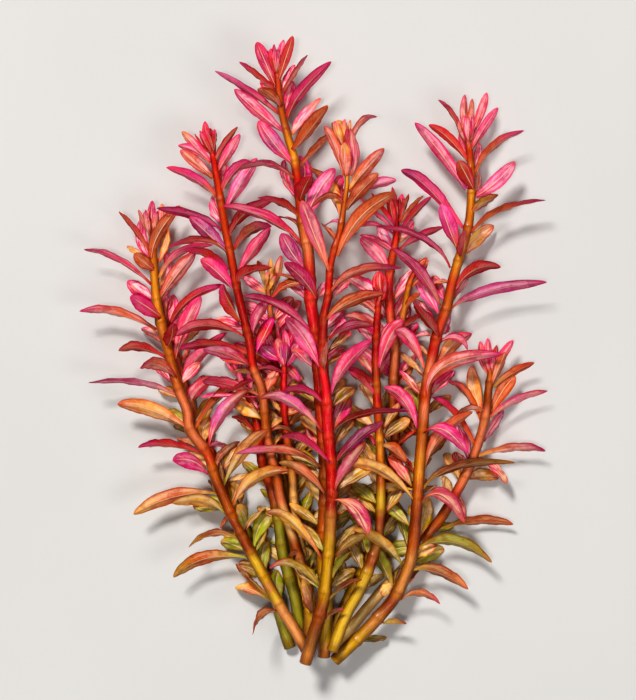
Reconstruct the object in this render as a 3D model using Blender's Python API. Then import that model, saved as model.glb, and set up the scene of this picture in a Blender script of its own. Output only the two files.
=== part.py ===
"""A loose bunch of cut stems of a red-leaved stem plant, lying on a surface.

Every stem grew in one piece with its leaves, so each leafy stem is one solid. The stems are drawn
as seen from straight above, in drawing units of 0.265 mm, x to the right and y down. Heights above
the surface are in millimetres. The cut ends point to -Y and the tips to +Y.
"""
import math

import bmesh
import bpy
import numpy as np
from mathutils import Vector
from mathutils.bvhtree import BVHTree

# ---- LAYOUT BEGIN ----
UNIT = 0.265            # millimetres per drawing unit
X0, Y0 = 314.0, 349.0   # drawing units at the middle of the bunch
GAP = 0.32              # least gap between two leaves or stems, mm
FLOOR = 0.12            # lowest height of any leaf, mm
LEAF_WIDTH = 17.0       # full leaf width, drawing units
SIDES = 6               # sides of a stem

# Each stem: points of its axis (x, y), heights (y, mm) and widths (y, drawing units).
STEMS = {
    "stem_tall_left_front": dict(
        key="A",
        axis="276.5,66 278,81 281,108 287,134 294,158 299,190 303,225 308,252 310,280 311,304 314,325 "
             "316,345 318,367 320,400 322,430 324,460 325,489 323,525 322,561 326,590 327,615 324,652",
        z="52,12.0 160,14.0 250,15.4 340,14.9 400,13.4 480,11.6 575,9.0 652,7.6",
        w="66,4 85,7 150,9 230,12 300,13 340,12 560,12 600,12 652,14"),
    "stem_center_front": dict(
        key="C",
        axis="342.3,138 344,150 347,180 344,205 339,236 335,247 330,269 328,296 324,316 323,340 "
             "323,367 326,394 328,430 331,460 332,489 331,507 330,534 327,570 322,605 314,632 307,657",
        z="124,13.5 180,16.0 250,18.0 300,18.6 367,18.0 430,16.8 500,15.6 575,14.0 657,12.7",
        w="138,3.5 180,5 230,7 290,8 345,10 400,12 480,12.5 600,13 657,13.5"),
    "stem_left_middle": dict(
        key="B",
        axis="210,146 213,155 218,184 224,221 231,256 237,289 244,318 250,343 253,367 262,391 266,427 "
             "271,454 277,480 281,502 291,532 302,570 309,592 310,610 308,638",
        z="132,9.5 220,11.0 343,11.2 430,9.6 502,8.2 570,7.4 598,7.2 638,6.3",
        w="146,4 156,7.5 200,8.8 260,9.2 343,9.6 430,9.6 520,10.5 590,12 638,12.5"),
    "stem_left_outer": dict(
        key="L",
        axis="152,228 152,238 154,275 158,312 168,351 178,388 187,411 190,430 208,455 216,480 234,520 "
             "255,561 279,605 293,627 303,645",
        z="210,7.6 312,8.4 430,8.4 520,8.2 605,8.7 645,9.6",
        w="228,4.5 245,9 285,9.5 330,11 430,11.5 605,12 645,12.5"),
    "stem_left_outer_back": dict(
        key="L2",
        axis="164,306 165,322 173,350 181,377 188,400 197,428 212,457 226,490 243,525 262,566 274,600 288,645",
        z="292,5.0 350,4.2 430,2.6 500,2.3 645,2.0",
        w="306,4 320,7 377,9 430,10 560,11 600,12 645,13"),
    "stem_right_tall": dict(
        key="R",
        axis="468,134 469,145 472,180 470,216 465,239 453,280 446,310 437,336 428,379 425,400 421,452 "
             "417,505 412,555 404,580 394,600 378,619 361,637 339,658",
        z="118,8.5 240,9.8 380,9.4 505,8.6 580,7.4 655,6.6",
        w="134,4 150,8 200,9 300,11 400,12 505,12 600,13 655,13.5"),
    "stem_right_low": dict(
        key="RR",
        axis="490,364 491,375 489,393 487,411 480,441 467,475 443,518 428,537 414,558 399,577 380,596 344,640",
        z="352,6.5 411,6.6 475,5.2 537,3.4 577,2.6 640,2.1",
        w="364,4 380,8 411,9.5 475,10.5 540,11 640,12"),
    "stem_right_middle": dict(
        key="D",
        axis="379,298 378,308 376,340 376,376 378,412 380,448 381,500 378,539 370,565 358,593 346,615 334,645",
        z="285,10.0 376,9.8 448,9.2 539,9.2 593,9.9 645,10.9",
        w="298,5 315,8 376,9 448,9.5 539,10.5 570,12.5 645,12.5"),
    "stem_right_middle_back": dict(
        key="E",
        axis="397,214 397,222 396,241 391,265 389,288 391,318 395,350 394,380 394,407 396,439 392,475 "
             "389,504 382,534 366,566 347,603 329,638",
        z="198,7 288,6.4 350,5.2 407,3.8 475,2.6 540,1.9 638,1.8",
        w="214,4 230,7 265,9.5 350,10 439,10 540,10.5 638,11"),
    "shoot_right_middle_side": dict(
        key="F",
        axis="423,264 419,268 412,277 408,290 406,303 403.6,314 402.6,325",
        z="258,8.6 303,7.0 325,6.0",
        w="258,3.5 277,6 314,7 325,7"),
    "stem_left_middle_back": dict(
        key="M",
        axis="236,368 247,394 254,412 259,440 262,465 270,488 278,521 282,552 289,579 296,605 300,634",
        z="368,6.8 412,5.6 465,4.6 521,4.0 600,3.8 634,3.1",
        w="368,4 394,7 440,9.5 488,10 521,12 579,12.5 634,13"),
    "stem_center_back_olive": dict(
        key="N",
        axis="269.5,280 268,290 270,312 274,350 278,400 281,450 285,500 293,550 303,600 313,638",
        z="262,7.5 312,6.0 400,3.0 450,2.0 500,1.6 638,1.6",
        w="280,4 300,6 350,8 500,9 638,9.5"),
    "stem_center_back_pink": dict(
        key="P",
        axis="284,356 284,370 284,410 287,440 292,475 294,505 301,550 310,600 320,638",
        z="340,8.5 410,7.0 475,5.4 550,4.5 600,3.8 638,4.0",
        w="356,4 375,7 440,9 550,9.5 638,10"),
}

# Each leaf: foot x y, middle x y, tip x y, width, lie and colours from foot to tip.
# Lie: f rises towards the viewer, b goes away, s lies in the plane of the drawing; u shows its
# upper face; a number is an extra height of the tip in mm.
LEAVES = {
    "A": """
275 74 272 62 271 50 6 f RRP|276 74 275 60 274 45 6 s RRM|277 74 278 62 278 49 6 s RSP
277 74 280 56 283 40 8 b MPP|279 80 286 58 293 37 10 f ORR|275 86 265 62 257 43 13 s RMP
274 89 257 75 240 62 6 s RRM|283 92 295 73 307 55 6 s OSM|283 93 288 79 295 65 9 b PPP
276 95 268 86 261 79 10 b PPP|281 107 271 97 258 91 10 f ROO|285 111 289 96 293 80 12 b MPM
287 120 301 91 332 63 11 s RMM|279 115 251 92 215 72 8 s RMW|284 133 259 112 235 90 12 s MPM
293 134 304 116 321 98 12 b SWS|293 151 309 130 327 107 14 f OOO|293 165 274 143 259 122 15 s PUP
301 166 318 146 337 131 7 s OOO|301 186 306 170 300 154 12 b MMM|297 199 287 180 285 159 11 b MPM
297 182 267 164 234 173 7 s OPO|300 201 303 190 311 179 14 f RRR|300 220 284 204 258 199 9 s ORP
300 230 290 218 273 217 4 b RRR|302 244 268 218 223 207 11 s RMM|302 248 294 236 287 225 5 b PPP
304 268 292 252 282 234 16 s WUM|318 300 304 279 285 264 14 f RMM|309 287 288 283 269 299 9 b BBR
309 284 295 278 272 271 3 b BBR|313 333 282 306 243 294 10 s MMM|305 222 318 193 335 170 17 s PWM
322 467 285 450 236 454 9 f BSW|321 447 312 433 305 420 14 b SPS""",
    "C": """
340 135 339 128 337 122 8 f OKK|341 135 342 128 342 121 6 b OKK|343 176 336 148 325 127 8 s SSS
346 177 345 160 344 145 12 f SSK|346 150 347 140 347 130 7 s MRM|351 177 355 157 349 130 9 s SPS
345 160 358 126 377 117 6 s SSM|351 190 365 170 384 150 13 s KSO|346 210 359 192 378 175 13 s BOS
352 193 372 185 396 182 9 s OWW|341 222 332 190 309 167 12 s OKO|344 198 338 188 343 176 9 b PRP
344 205 330 197 311 208 5 s ROR|329 272 314 232 302 202 15 f SNN|341 224 333 221 324 226 3 b MMM
343 230 348 225 353 220 4 b MMM|337 242 330 232 322 222 5 b OOO|338 258 360 217 395 195 16 f SOB
329 294 357 271 401 269 11 s OSM|326 320 350 301 383 293 13 f OOR|319 366 304 338 285 317 15 f MWM
323 368 324 355 325 342 9 f SSS|324 402 303 388 283 392 8 s MMM|322 430 290 400 259 397 13 s RWO
330 461 300 437 280 438 9 f MMM|324 492 303 470 279 460 12 s BSG|322 558 293 520 266 510 13 s OKS
320 583 293 563 269 566 9 s GGP|331 392 346 362 371 342 14 f MPM|333 430 362 412 410 410 9 s BRM
334 462 355 438 382 420 12 s RUM|334 488 347 463 365 441 12 f RWR|334 498 355 505 367 531 14 fu SNN
336 556 350 540 366 533 10 s BGG|332 577 339 561 351 550 9 s GVG|329 598 345 582 362 577 8 s GBS
326 615 335 609 344 607 5 s BBP|330 339 348 326 373 325 8 s RMR|332 352 340 340 348 332 8 b BGP
331 363 337 356 343 352 7 b GOK|331 336 337 328 343 319 6 b SPP|334 427 341 410 349 396 17 b SMS""",
    "B": """
212 152 207 138 205 121 9 s RRP|213 150 214 139 215 129 6 s RRP|210 161 195 145 182 131 9 s PPK
210 164 196 150 178 145 6 s RPP|213 178 197 163 180 150 11 s OSS|216 196 195 178 166 168 10 s OMP
214 162 223 145 237 126 6 s ORO|218 171 228 153 240 134 10 s RPM|220 184 224 173 226 164 9 b PPP
221 193 233 171 250 161 10 s RMM|228 206 240 183 257 158 14 s MWM|217 197 215 191 213 185 5 b PPP
221 222 212 208 210 195 10 b MPM|222 231 198 216 157 207 8 s MMM|227 251 208 232 190 217 15 s UUM
228 240 243 213 275 200 10 s RRM|230 228 234 219 237 211 5 b SSS|234 250 250 230 272 226 10 s RBM
241 271 254 248 271 229 14 s PPM|228 270 210 255 184 249 7 s MRM|226 249 198 239 169 249 6 s ORP
234 290 218 271 201 259 15 s MMP|240 322 228 303 221 285 12 f ORP|239 287 244 272 272 267 8 s RRR
241 338 208 324 174 335 11 s RRW|250 366 227 352 205 350 14 f RPW|250 352 210 343 181 350 9 s RRM
252 374 240 370 231 371 6 f SKK|253 395 228 383 203 381 9 s SPM|245 400 215 395 199 398 4 b PMP
252 333 258 315 270 300 11 s MPM|258 352 264 333 273 317 12 b MRM|255 379 243 384 231 391 6 s MRR
258 411 245 400 232 394 7 b OKP|266 394 270 380 276 369 13 b SSO|261 367 272 367 284 374 5 s RMP
272 430 284 427 294 434 6 s RSS|271 428 276 421 281 417 8 b OKB|274 446 276 440 279 433 6 b GKG
311 612 309 597 303 577 11 f OSK|300 553 291 554 287 561 5 s OSO|316 560 309 550 301 547 9 b GKG
257 409 254 402 252 395 6 b PPS""",
    "L": """
152 235 151 218 152 200 9 s UMM|155 238 161 220 161 203 9 s OPK|149 235 143 222 138 209 6 s OSS
151 258 158 233 180 205 13 f OBO|148 249 135 229 119 210 7 s ORO|147 256 141 240 141 218 12 b MPM
159 262 165 242 165 226 9 b OKO|161 284 167 268 165 250 8 b KPP|153 270 144 262 135 254 13 f ROO
146 260 136 252 126 245 6 b KKK|151 284 118 258 83 248 8 s RPM|159 277 178 253 213 243 7 s KPP
160 297 176 273 195 251 14 s OSR|152 302 139 290 126 280 14 b WMM|160 317 146 307 131 297 15 f RMM
155 330 120 313 79 309 8 s OSM|175 358 184 325 201 296 15 s RPM|167 345 171 335 174 324 12 f RRR
166 358 140 346 118 350 9 s RRS|176 377 157 363 141 367 13 f RSP|178 396 140 382 87 381 9 s SWM
190 430 153 410 117 404 15 s OKO|201 424 222 393 258 379 10 s OBR|208 446 222 412 248 390 14 s RWS
200 452 166 444 138 448 10 s RRM|198 449 187 440 175 440 10 b KSS|206 474 191 461 173 460 16 f PMM
217 494 173 496 133 515 15 s GSK|225 514 203 500 172 503 12 s VKK|227 519 223 523 219 528 5 b OOO
238 539 212 533 188 547 10 s GOK|246 558 204 558 173 578 15 s VOG|265 601 248 580 236 566 12 b GBS
267 603 251 590 234 589 10 b GSK|272 612 259 615 254 632 10 f BSP|227 484 243 450 268 428 13 s VKO
232 507 254 478 289 469 12 s OKO|254 548 261 525 274 516 12 b VVG|266 575 262 558 268 543 12 b GVG
282 600 277 585 279 573 8 b GVG|209 447 218 445 227 447 5 b MMR|205 442 203 430 209 417 8 b KKO
216 466 222 453 240 441 7 s OSB|223 484 220 472 218 462 9 b GKB|232 502 236 492 235 484 10 b GKG
243 530 244 516 238 504 11 f GVK|247 530 253 517 264 510 8 b BGG|215 491 212 486 209 481 4 b GKG""",
    "L2": """
168 321 172 307 171 294 11 s PPP|170 323 189 298 222 284 8 s RRM|182 347 188 336 199 329 8 s OGO
184 381 193 359 226 333 12 s SWM|183 361 184 355 184 349 6 b SSS|186 409 196 389 214 378 14 s SPS
226 484 238 479 250 475 9 b GKG|160 312 157 302 158 292 7 s RRP""",
    "N": """
272 292 277 272 281 255 9 s GKP|266 291 262 272 257 260 6 s GGO|266 292 254 284 243 275 10 s KPP
271 285 270 272 271 258 7 f GGK""",
    "P": """
284 366 281 352 277 338 12 f MPS|286 366 294 352 298 343 12 s MMM|284 358 286 345 284 330 9 f SMP
281 360 268 352 262 345 14 s MUM|288 358 291 347 296 336 8 b PMM|279 358 270 343 268 330 10 b SPP
283 345 278 332 277 322 8 b PPP|286 345 292 331 294 318 7 b MRM|281 366 290 370 300 381 9 f MRM
285 392 278 386 281 376 10 b KOK|287 440 300 430 304 424 10 b GKG|284 412 295 410 300 404 8 b OOR
291 466 300 452 312 452 12 b GKG|282 412 276 406 272 398 5 b OKO|292 476 283 469 278 476 9 b GKG""",
    "R": """
468 140 464 117 465 94 8 s MSP|470 140 471 120 473 98 8 s SSS|474 138 481 112 487 92 9 s RPP
466 141 454 115 439 98 5 s MRM|468 154 463 143 462 131 7 b PPP|471 150 484 127 498 107 9 s RPP
474 170 479 155 480 141 9 b PPP|468 160 450 138 429 124 9 s RRR|475 173 492 147 524 129 8 s OOM
476 191 480 178 479 165 7 b SSS|465 190 443 154 415 122 12 s WPM|473 188 465 175 457 162 15 f RRO
476 197 497 181 515 161 15 s PWM|471 213 483 202 498 195 11 s OGO|471 232 500 209 546 201 8 s OOM
463 228 430 187 401 169 12 s PMU|458 250 450 227 441 204 14 s OMW|467 253 477 238 496 225 14 b SKS
460 255 461 245 462 232 9 f RRR|455 288 475 268 501 267 14 s RRR|451 309 485 291 547 281 10 s OWM
450 268 425 238 376 224 6 s RMP|439 305 422 274 393 247 12 s SMM|437 312 428 293 418 277 16 b PWP
449 281 440 281 430 282 5 b OOP|439 337 428 320 413 305 12 f RRR|443 335 448 325 453 316 8 b MPM
439 371 451 345 472 333 14 s RKM|436 345 455 336 468 350 9 su RMP|426 396 446 364 503 354 16 f RSM
425 370 410 339 394 330 12 s SPP|424 375 412 362 402 351 8 b OKO|417 430 405 400 384 386 14 s MPP
425 466 441 434 473 411 14 s BSO|423 433 443 428 466 452 12 fu RMN|413 499 380 468 345 464 13 f KKK
402 566 380 540 352 530 12 f VKK|422 490 455 466 516 462 10 s GBG|421 502 441 493 464 521 14 fu SNN
425 549 453 541 494 562 14 s GVG|413 571 438 571 469 589 12 s GBS|401 600 421 593 441 604 9 s BSP
384 625 395 622 407 624 7 s GKR|360 643 374 641 386 640 8 b GGG|400 488 375 490 352 507 12 b KGO
393 588 384 565 371 546 12 s GVG|410 556 405 528 399 502 9 b GVG|409 583 413 578 412 573 8 b SOS
421 538 426 517 430 500 15 b BGK|417 560 422 552 437 547 8 b GKS|395 586 399 576 402 567 7 b KKO
391 583 386 590 382 597 9 b SKO|423 495 428 489 435 487 9 b KKO|413 472 404 460 387 456 6 b RRS
412 488 401 470 390 456 14 b GPS|413 480 410 468 407 460 8 b GVG|415 431 406 437 399 443 5 b RRO
417 436 408 427 399 421 9 b OBR|428 355 420 346 414 341 7 b KKO|430 335 420 334 412 338 6 b OPK""",
    "RR": """
489 372 484 357 481 341 7 s RSP|489 372 489 355 488 338 9 f RPP|490 370 495 357 497 345 6 s ORR
492 370 503 355 514 340 9 s OPP|493 383 500 365 506 352 10 f SOS|494 387 512 373 535 362 8 s GOR
490 416 505 389 517 377 14 b OOO|491 418 516 400 549 391 9 s SWP|485 441 496 425 507 412 10 b UPU
485 458 516 448 547 451 10 s KSM|478 458 497 468 508 484 9 su RPS|482 414 476 389 473 366 13 b SKS
482 421 469 393 450 380 7 s OOP|476 446 457 415 433 396 6 s ORM|470 463 466 440 459 426 12 b UPU
444 531 478 522 515 525 9 s GOO|484 411 470 408 456 416 7 s SSO|471 470 463 462 458 453 10 b PPR
456 498 462 505 468 520 9 b PPP""",
    "D": """
383 300 380 286 379 271 16 f RRR|376 312 365 303 355 300 7 s SSK|374 330 360 318 345 316 6 s PSS
374 334 356 326 336 340 7 s MRR|373 342 362 326 350 313 11 b PPS|375 384 362 374 347 366 9 s RRM
379 368 389 337 404 320 14 f MPM|376 395 362 380 349 372 6 s MRM|374 445 370 436 363 436 4 s MRM
376 470 370 455 362 441 9 b GKG|382 446 394 449 406 462 12 s GOO|378 412 387 400 390 386 11 b OGK""",
    "E": """
397 222 395 205 393 186 7 s RRR|399 218 401 205 402 193 8 b RRM|400 220 404 206 409 193 5 s ROR
402 222 411 207 424 195 5 s OOO|402 230 414 212 432 196 6 s MRM|402 251 419 235 444 227 6 s RMM
396 224 384 210 371 192 4 s MRR|394 228 377 213 360 197 5 s MMP|395 234 371 223 346 231 4 s MPM
392 248 385 236 379 224 11 b PWM|403 240 408 230 411 218 9 b KPP|397 254 380 242 360 235 7 s MPM
389 271 376 252 360 238 14 f PWM|393 325 401 318 409 320 7 s MPP|398 385 404 375 413 364 9 b OBG""",
    "F": """
403 328 413 318 424 313 6 s ORO|406 306 412 299 420 293 5 s OOO|404 318 408 311 411 303 5 b KOK
413 286 420 271 427 257 11 s OOR""",
    "M": """
253 431 243 420 231 416 7 s RRR|277 548 270 543 262 538 7 b GVG|247 394 241 382 238 368 8 b MPM
249 392 250 376 246 360 7 s PPP|255 422 250 410 250 398 8 b PPS|262 462 256 450 250 440 9 b GKG
288 578 292 570 296 560 9 b GVG|279 522 268 513 258 508 9 b GKG""",
}
# Low, half-hidden leaves at the foot of the bunch: stem, first and last y, spacing, length.
FILL = (("N", 330, 600, 34, 38), ("P", 425, 610, 37, 38), ("E", 300, 600, 37, 42),
        ("D", 430, 590, 42, 40), ("M", 440, 600, 44, 36), ("A", 480, 600, 46, 36),
        ("L2", 440, 600, 56, 32), ("RR", 480, 560, 56, 28), ("B", 420, 560, 56, 34),
        ("C", 430, 600, 60, 38), ("R", 330, 590, 66, 36))


def pairs(text):
    return [tuple(float(v) for v in item.split(",")) for item in text.split()]


def table_value(rows, y):
    """Linear value at y in rows of (y, value)."""
    if y <= rows[0][0]:
        return rows[0][1]
    for (ya, a), (yb, b) in zip(rows, rows[1:]):
        if y <= yb:
            return a + (b - a) * (y - ya) / (yb - ya)
    return rows[-1][1]


def catmull(p0, p1, p2, p3, t):
    return 0.5 * ((2 * p1) + (p2 - p0) * t + (2 * p0 - 5 * p1 + 4 * p2 - p3) * t * t
                  + (3 * p1 - p0 - 3 * p2 + p3) * t * t * t)


class Stem:
    """Axis of one stem from its tip to its cut end, in millimetres."""
    grid = None

    def __init__(self, name, spec):
        self.name, self.key = name, spec["key"]
        flat = pairs(spec["axis"])
        heights, widths = pairs(spec["z"]), pairs(spec["w"])
        knots = [Vector(((x - X0) * UNIT, (Y0 - y) * UNIT, table_value(heights, y))) for x, y in flat]
        self.points, self.knot_index = [], []
        for i in range(len(knots) - 1):
            a, d = knots[max(0, i - 1)], knots[min(len(knots) - 1, i + 2)]
            steps = max(2, round((knots[i + 1] - knots[i]).length / 0.8))
            self.knot_index.append(len(self.points))
            self.points += [catmull(a, knots[i], knots[i + 1], d, k / steps) for k in range(steps)]
        self.knot_index.append(len(self.points))
        self.points.append(knots[-1])
        self.radii = [0.5 * UNIT * table_value(widths, Y0 - p.y / UNIT) for p in self.points]
        self.lengths = [0.0]
        for a, b in zip(self.points, self.points[1:]):
            self.lengths.append(self.lengths[-1] + (b - a).length)
        self.rings = cad_rings(self)

    def chord(self, i):
        """Point of the ring-to-ring line beside point i of the axis."""
        for a, b in zip(self.rings, self.rings[1:]):
            if i <= b:
                share = (self.lengths[i] - self.lengths[a]) / (self.lengths[b] - self.lengths[a])
                return self.points[a].lerp(self.points[b], share)
        return self.points[-1].copy()

    def tangent(self, i):
        """Direction towards the tip."""
        a, b = self.points[max(0, i - 1)], self.points[min(len(self.points) - 1, i + 1)]
        return (a - b).normalized()

    def nearest(self, p):
        flat = Vector((p.x, p.y, 0))
        return min(range(len(self.points)), key=lambda i: (Vector((self.points[i].x, self.points[i].y, 0)) - flat).length)

    def distance(self, p):
        """Distance from p to the skin of the stem."""
        if self.grid is None:
            self.grid = np.array([tuple(q) for q in self.points])
            self.skin = np.array(self.radii)
        return float(np.min(np.sqrt(((self.grid - np.array(tuple(p))) ** 2).sum(axis=1)) - self.skin))

    def tube(self, rings, sides, turn=0.0):
        """Vertices and faces of a closed tube through the points with the given indices."""
        verts, faces = [], []
        for i in rings:
            t = self.tangent(i)
            side = t.cross(Vector((0, 0, 1))).normalized()
            up = side.cross(t).normalized()
            for k in range(sides):
                a = 2 * math.pi * (k + turn) / sides
                verts.append(self.points[i] + (side * math.cos(a) + up * math.sin(a)) * self.radii[i])
        n = len(rings)
        for i in range(n - 1):
            for k in range(sides):
                a, b = i * sides + k, i * sides + (k + 1) % sides
                faces.append((a, b, b + sides, a + sides))
        faces.append(tuple(range(sides - 1, -1, -1)))
        faces.append(tuple((n - 1) * sides + k for k in range(sides)))
        return verts, faces


def blade_width(t, base=0.13):
    """Share of the full width at t from the foot (0) to the tip (1)."""
    if t < 0.52:
        return base + (1.0 - base) * math.sin(0.5 * math.pi * t / 0.52) ** 1.5
    return max(0.0, 1.0 - ((t - 0.52) / 0.48) ** 2.3) ** 0.62


class Leaf:
    """One leaf of a stem: a bowed blade, wide in the middle, narrow at its foot."""

    def __init__(self, stem, foot, mid, tip, width, lie, colours, order, filler=False):
        self.stem, self.colours, self.order, self.filler = stem, colours, order, filler
        self.lie = lie[0]
        self.upper = "u" in lie
        digits = lie.lstrip("fbsu")
        self.lift = float(digits) if digits else 0.0
        flat = [Vector(((x - X0) * UNIT, (Y0 - y) * UNIT, 0)) for x, y in (foot, mid, tip)]
        self.flat = flat
        self.index = stem.nearest(flat[0])
        axis, r = stem.points[self.index], stem.radii[self.index]
        t = stem.tangent(self.index)
        side = t.cross(Vector((0, 0, 1))).normalized()
        off = max(-0.96 * r, min(0.96 * r, (flat[0] - Vector((axis.x, axis.y, 0))).dot(side)))
        rise = math.sqrt(max(0.0, r * r - off * off))
        rise *= {"f": 1.0, "b": -1.0, "s": 0.35}[self.lie]
        out = side * off + side.cross(t).normalized() * rise
        self.root = stem.chord(self.index) + out * 0.3
        self.foot = axis + out * 0.92
        along = stem.lengths[self.index] / UNIT
        full = min(70.0, 19.0 + 0.5 * along)
        # Young leaves near the tip clasp the stem with a broader foot than old ones.
        self.base = 0.36 - 0.23 * min(1.0, max(0.0, (along - 40.0) / 130.0))
        self.true_width = min(LEAF_WIDTH, 4.5 + 0.21 * full)
        length = (flat[1] - flat[0]).length + (flat[2] - flat[1]).length
        missing = math.sqrt(max(0.0, (full * UNIT) ** 2 - length ** 2))
        self.dz = {"f": min(0.62 * missing, 8.0), "b": -min(0.5 * missing, 7.0), "s": min(0.12 * missing, 1.6)}[self.lie]
        self.dz += self.lift
        self.width = width * UNIT
        self.length = length
        ratio = min(1.0, width / max(self.true_width, width))
        self.roll = math.acos(ratio)
        if self.roll > 1.15:
            self.roll = 1.15
        self.blade = self.width / max(0.35, math.cos(self.roll))
        self.blade = min(self.blade, LEAF_WIDTH * UNIT * 1.06) if width < LEAF_WIDTH else self.width

    def shape(self, dz, bow, droll, shrink=1.0):
        """Centre line, side and face directions for one way to lay the leaf."""
        f = self.foot
        scale = shrink
        mid = self.flat[0].lerp(self.flat[1], scale) - self.flat[0]
        tip = (self.flat[1] - self.flat[0]).lerp(self.flat[2] - self.flat[0], scale) if scale < 1 else self.flat[2] - self.flat[0]
        p0 = Vector((self.flat[0].x, self.flat[0].y, f.z))
        p0 = Vector((f.x, f.y, f.z)) if (p0 - f).length > 0.9 else p0.lerp(f, 0.5)
        pm = self.flat[0] + mid + Vector((0, 0, f.z + 0.5 * dz + bow))
        pt = self.flat[0] + tip + Vector((0, 0, f.z + dz))
        ctrl = pm * 2 - (p0 + pt) / 2
        roll = self.roll + droll

        def centre(t):
            p = p0 * (1 - t) ** 2 + ctrl * 2 * t * (1 - t) + pt * t * t
            return p

        def tangent(t):
            d = (ctrl - p0) * 2 * (1 - t) + (pt - ctrl) * 2 * t
            return d.normalized()

        chord = (pt - p0)
        level = Vector((chord.x, chord.y, 0))
        if level.length < 1e-6:
            level = Vector((1, 0, 0))
        e1 = Vector((-level.y, level.x, 0)).normalized()
        e2 = chord.normalized().cross(e1)
        axis = self.stem.tangent(self.index)
        best = None
        for sign in (1, -1):
            s = e1 * math.cos(roll) + e2 * math.sin(roll) * sign
            n = chord.normalized().cross(s)
            if n.dot(axis) < 0:
                n = -n
            face_up = n.z
            want = 1 if (self.upper or self.lie == "b") else -1
            score = face_up * want
            if best is None or score > best[0] + 1e-9:
                best = (score, s, n)
        if self.upper and best[2].z < 0:
            best = (best[0], best[1], -best[2])
        return centre, tangent, best[1], best[2]

    def sections(self, form, ts):
        """Centre, half-width direction and face direction at each t."""
        centre, tangent, s0, n0 = form
        rows = []
        for t in ts:
            c, d = centre(t), tangent(t)
            s = (s0 - d * s0.dot(d)).normalized()
            n = d.cross(s)
            if n.dot(n0) < 0:
                n = -n
            half = 0.5 * self.blade * self.slim * blade_width(t, self.base)
            low = FLOOR + 0.42 * max(0.0, n.z) + abs(s.z) * half + 0.05
            if c.z < low:
                c = Vector((c.x, c.y, low))
            rows.append((c, s * half, n))
        return rows

    slim = 1.0
    spare = False

    def solid(self, form, ts):
        """A three-sided closed blade: two edges and a keel on the under face."""
        rows = self.sections(form, ts)
        root_dir = (rows[0][0] - self.root)
        s0 = rows[0][1].normalized()
        s0 = (s0 - root_dir * (s0.dot(root_dir) / max(1e-9, root_dir.length_squared))).normalized()
        n0 = root_dir.normalized().cross(s0)
        if n0.dot(rows[0][2]) < 0:
            n0 = -n0
        rr = self.stem.radii[self.index]
        half = min(0.42, 0.34 * rr)
        verts = [self.root - s0 * half + n0 * 0.1 * rr, self.root + s0 * half + n0 * 0.1 * rr,
                 self.root - n0 * min(0.42, 0.3 * rr)]
        for c, s, n in rows[:-1]:
            lift = n * (0.16 * s.length)
            verts += [c - s + lift, c + s + lift, c - n * 0.42]
        c, s, n = rows[-1]
        verts.append(c)
        for v in verts[3:]:
            v.z = max(v.z, FLOOR)
        faces = [(0, 1, 2)]
        count = len(rows)
        for i in range(count - 1):
            a, b = 3 * i, 3 * i + 3
            for k in range(3):
                m = (k + 1) % 3
                faces.append((a + k, b + k, b + m, a + m))
        a = 3 * (count - 1)
        tip = len(verts) - 1
        for k in range(3):
            faces.append((a + k, tip, a + (k + 1) % 3))
        return verts, faces

    def body(self, form):
        long = self.length > 60 * UNIT
        return self.solid(form, (0.34, 0.7, 1.0) if long else (0.5, 1.0))

    def probe(self, form):
        """A slightly thicker stand-in for the real curved blade, for finding collisions."""
        rows = self.sections(form, (0.08, 0.28, 0.5, 0.72, 0.9, 1.0))
        verts, faces = [], []
        for c, s, n in rows:
            verts += [c - s * 1.04 + n * 0.25, c + n * 0.22, c + s * 1.04 + n * 0.25, c - n * 0.62]
        for i in range(len(rows) - 1):
            a, b = 4 * i, 4 * i + 4
            for k in range(4):
                m = (k + 1) % 4
                faces.append((a + k, b + k, b + m, a + m))
        return verts, faces

    def clear_of_stem(self, form, start):
        ts = [t for t in (0.3, 0.45, 0.6, 0.75, 0.9, 1.0) if t >= start]
        for (c, s, n), t in zip(self.sections(form, ts), ts):
            need = GAP * (0.6 if t < 0.4 else 1.0)
            for q in (c, c + s * 0.9, c - s * 0.9, c - n * 0.4):
                if self.stem.distance(q) < need:
                    return False
        return True


def ways():
    """Ways to lay a leaf, the least changed first."""
    found = []
    for dz in (0, 1, -1, 2, -2, 3, -3, 4.5, -4.5, 6, -6, 8, -8):
        for bow in (0, 0.8, -0.8, 1.8, -1.8, 3.2, -3.2):
            for roll in (0, 14, -14, 30, -30, 48):
                found.append((abs(dz) + 1.4 * abs(bow) + abs(roll) / 10.0, dz, bow, math.radians(roll)))
    found.sort(key=lambda w: w[0])
    return [w[1:] for w in found]


def bounds(verts):
    xs, ys, zs = [v.x for v in verts], [v.y for v in verts], [v.z for v in verts]
    return min(xs), max(xs), min(ys), max(ys), min(zs), max(zs)


class Space:
    """Everything laid so far, for finding overlaps."""

    def __init__(self):
        self.items = []

    def add(self, verts, faces, owner=None):
        self.items.append((bounds(verts), BVHTree.FromPolygons(verts, faces), owner))

    def hits(self, verts, faces, skip=None, kin=None):
        """True if the shape cuts anything laid so far, but for the stem skip and the leaves of kin."""
        box = bounds(verts)
        tree = None
        for other, bvh, owner in self.items:
            if owner is not None and (owner is skip or (kin is not None and getattr(owner, "stem", None) is kin)):
                continue
            if (other[0] > box[1] or other[1] < box[0] or other[2] > box[3] or other[3] < box[2]
                    or other[4] > box[5] or other[5] < box[4]):
                continue
            if tree is None:
                tree = BVHTree.FromPolygons(verts, faces)
            if bvh.overlap(tree):
                return True
        return False


def fat_tube(stem, rings, sides, extra):
    keep = stem.radii
    stem.radii = [r + extra for r in keep]
    result = stem.tube(rings, sides)
    stem.radii = keep
    return result


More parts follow.
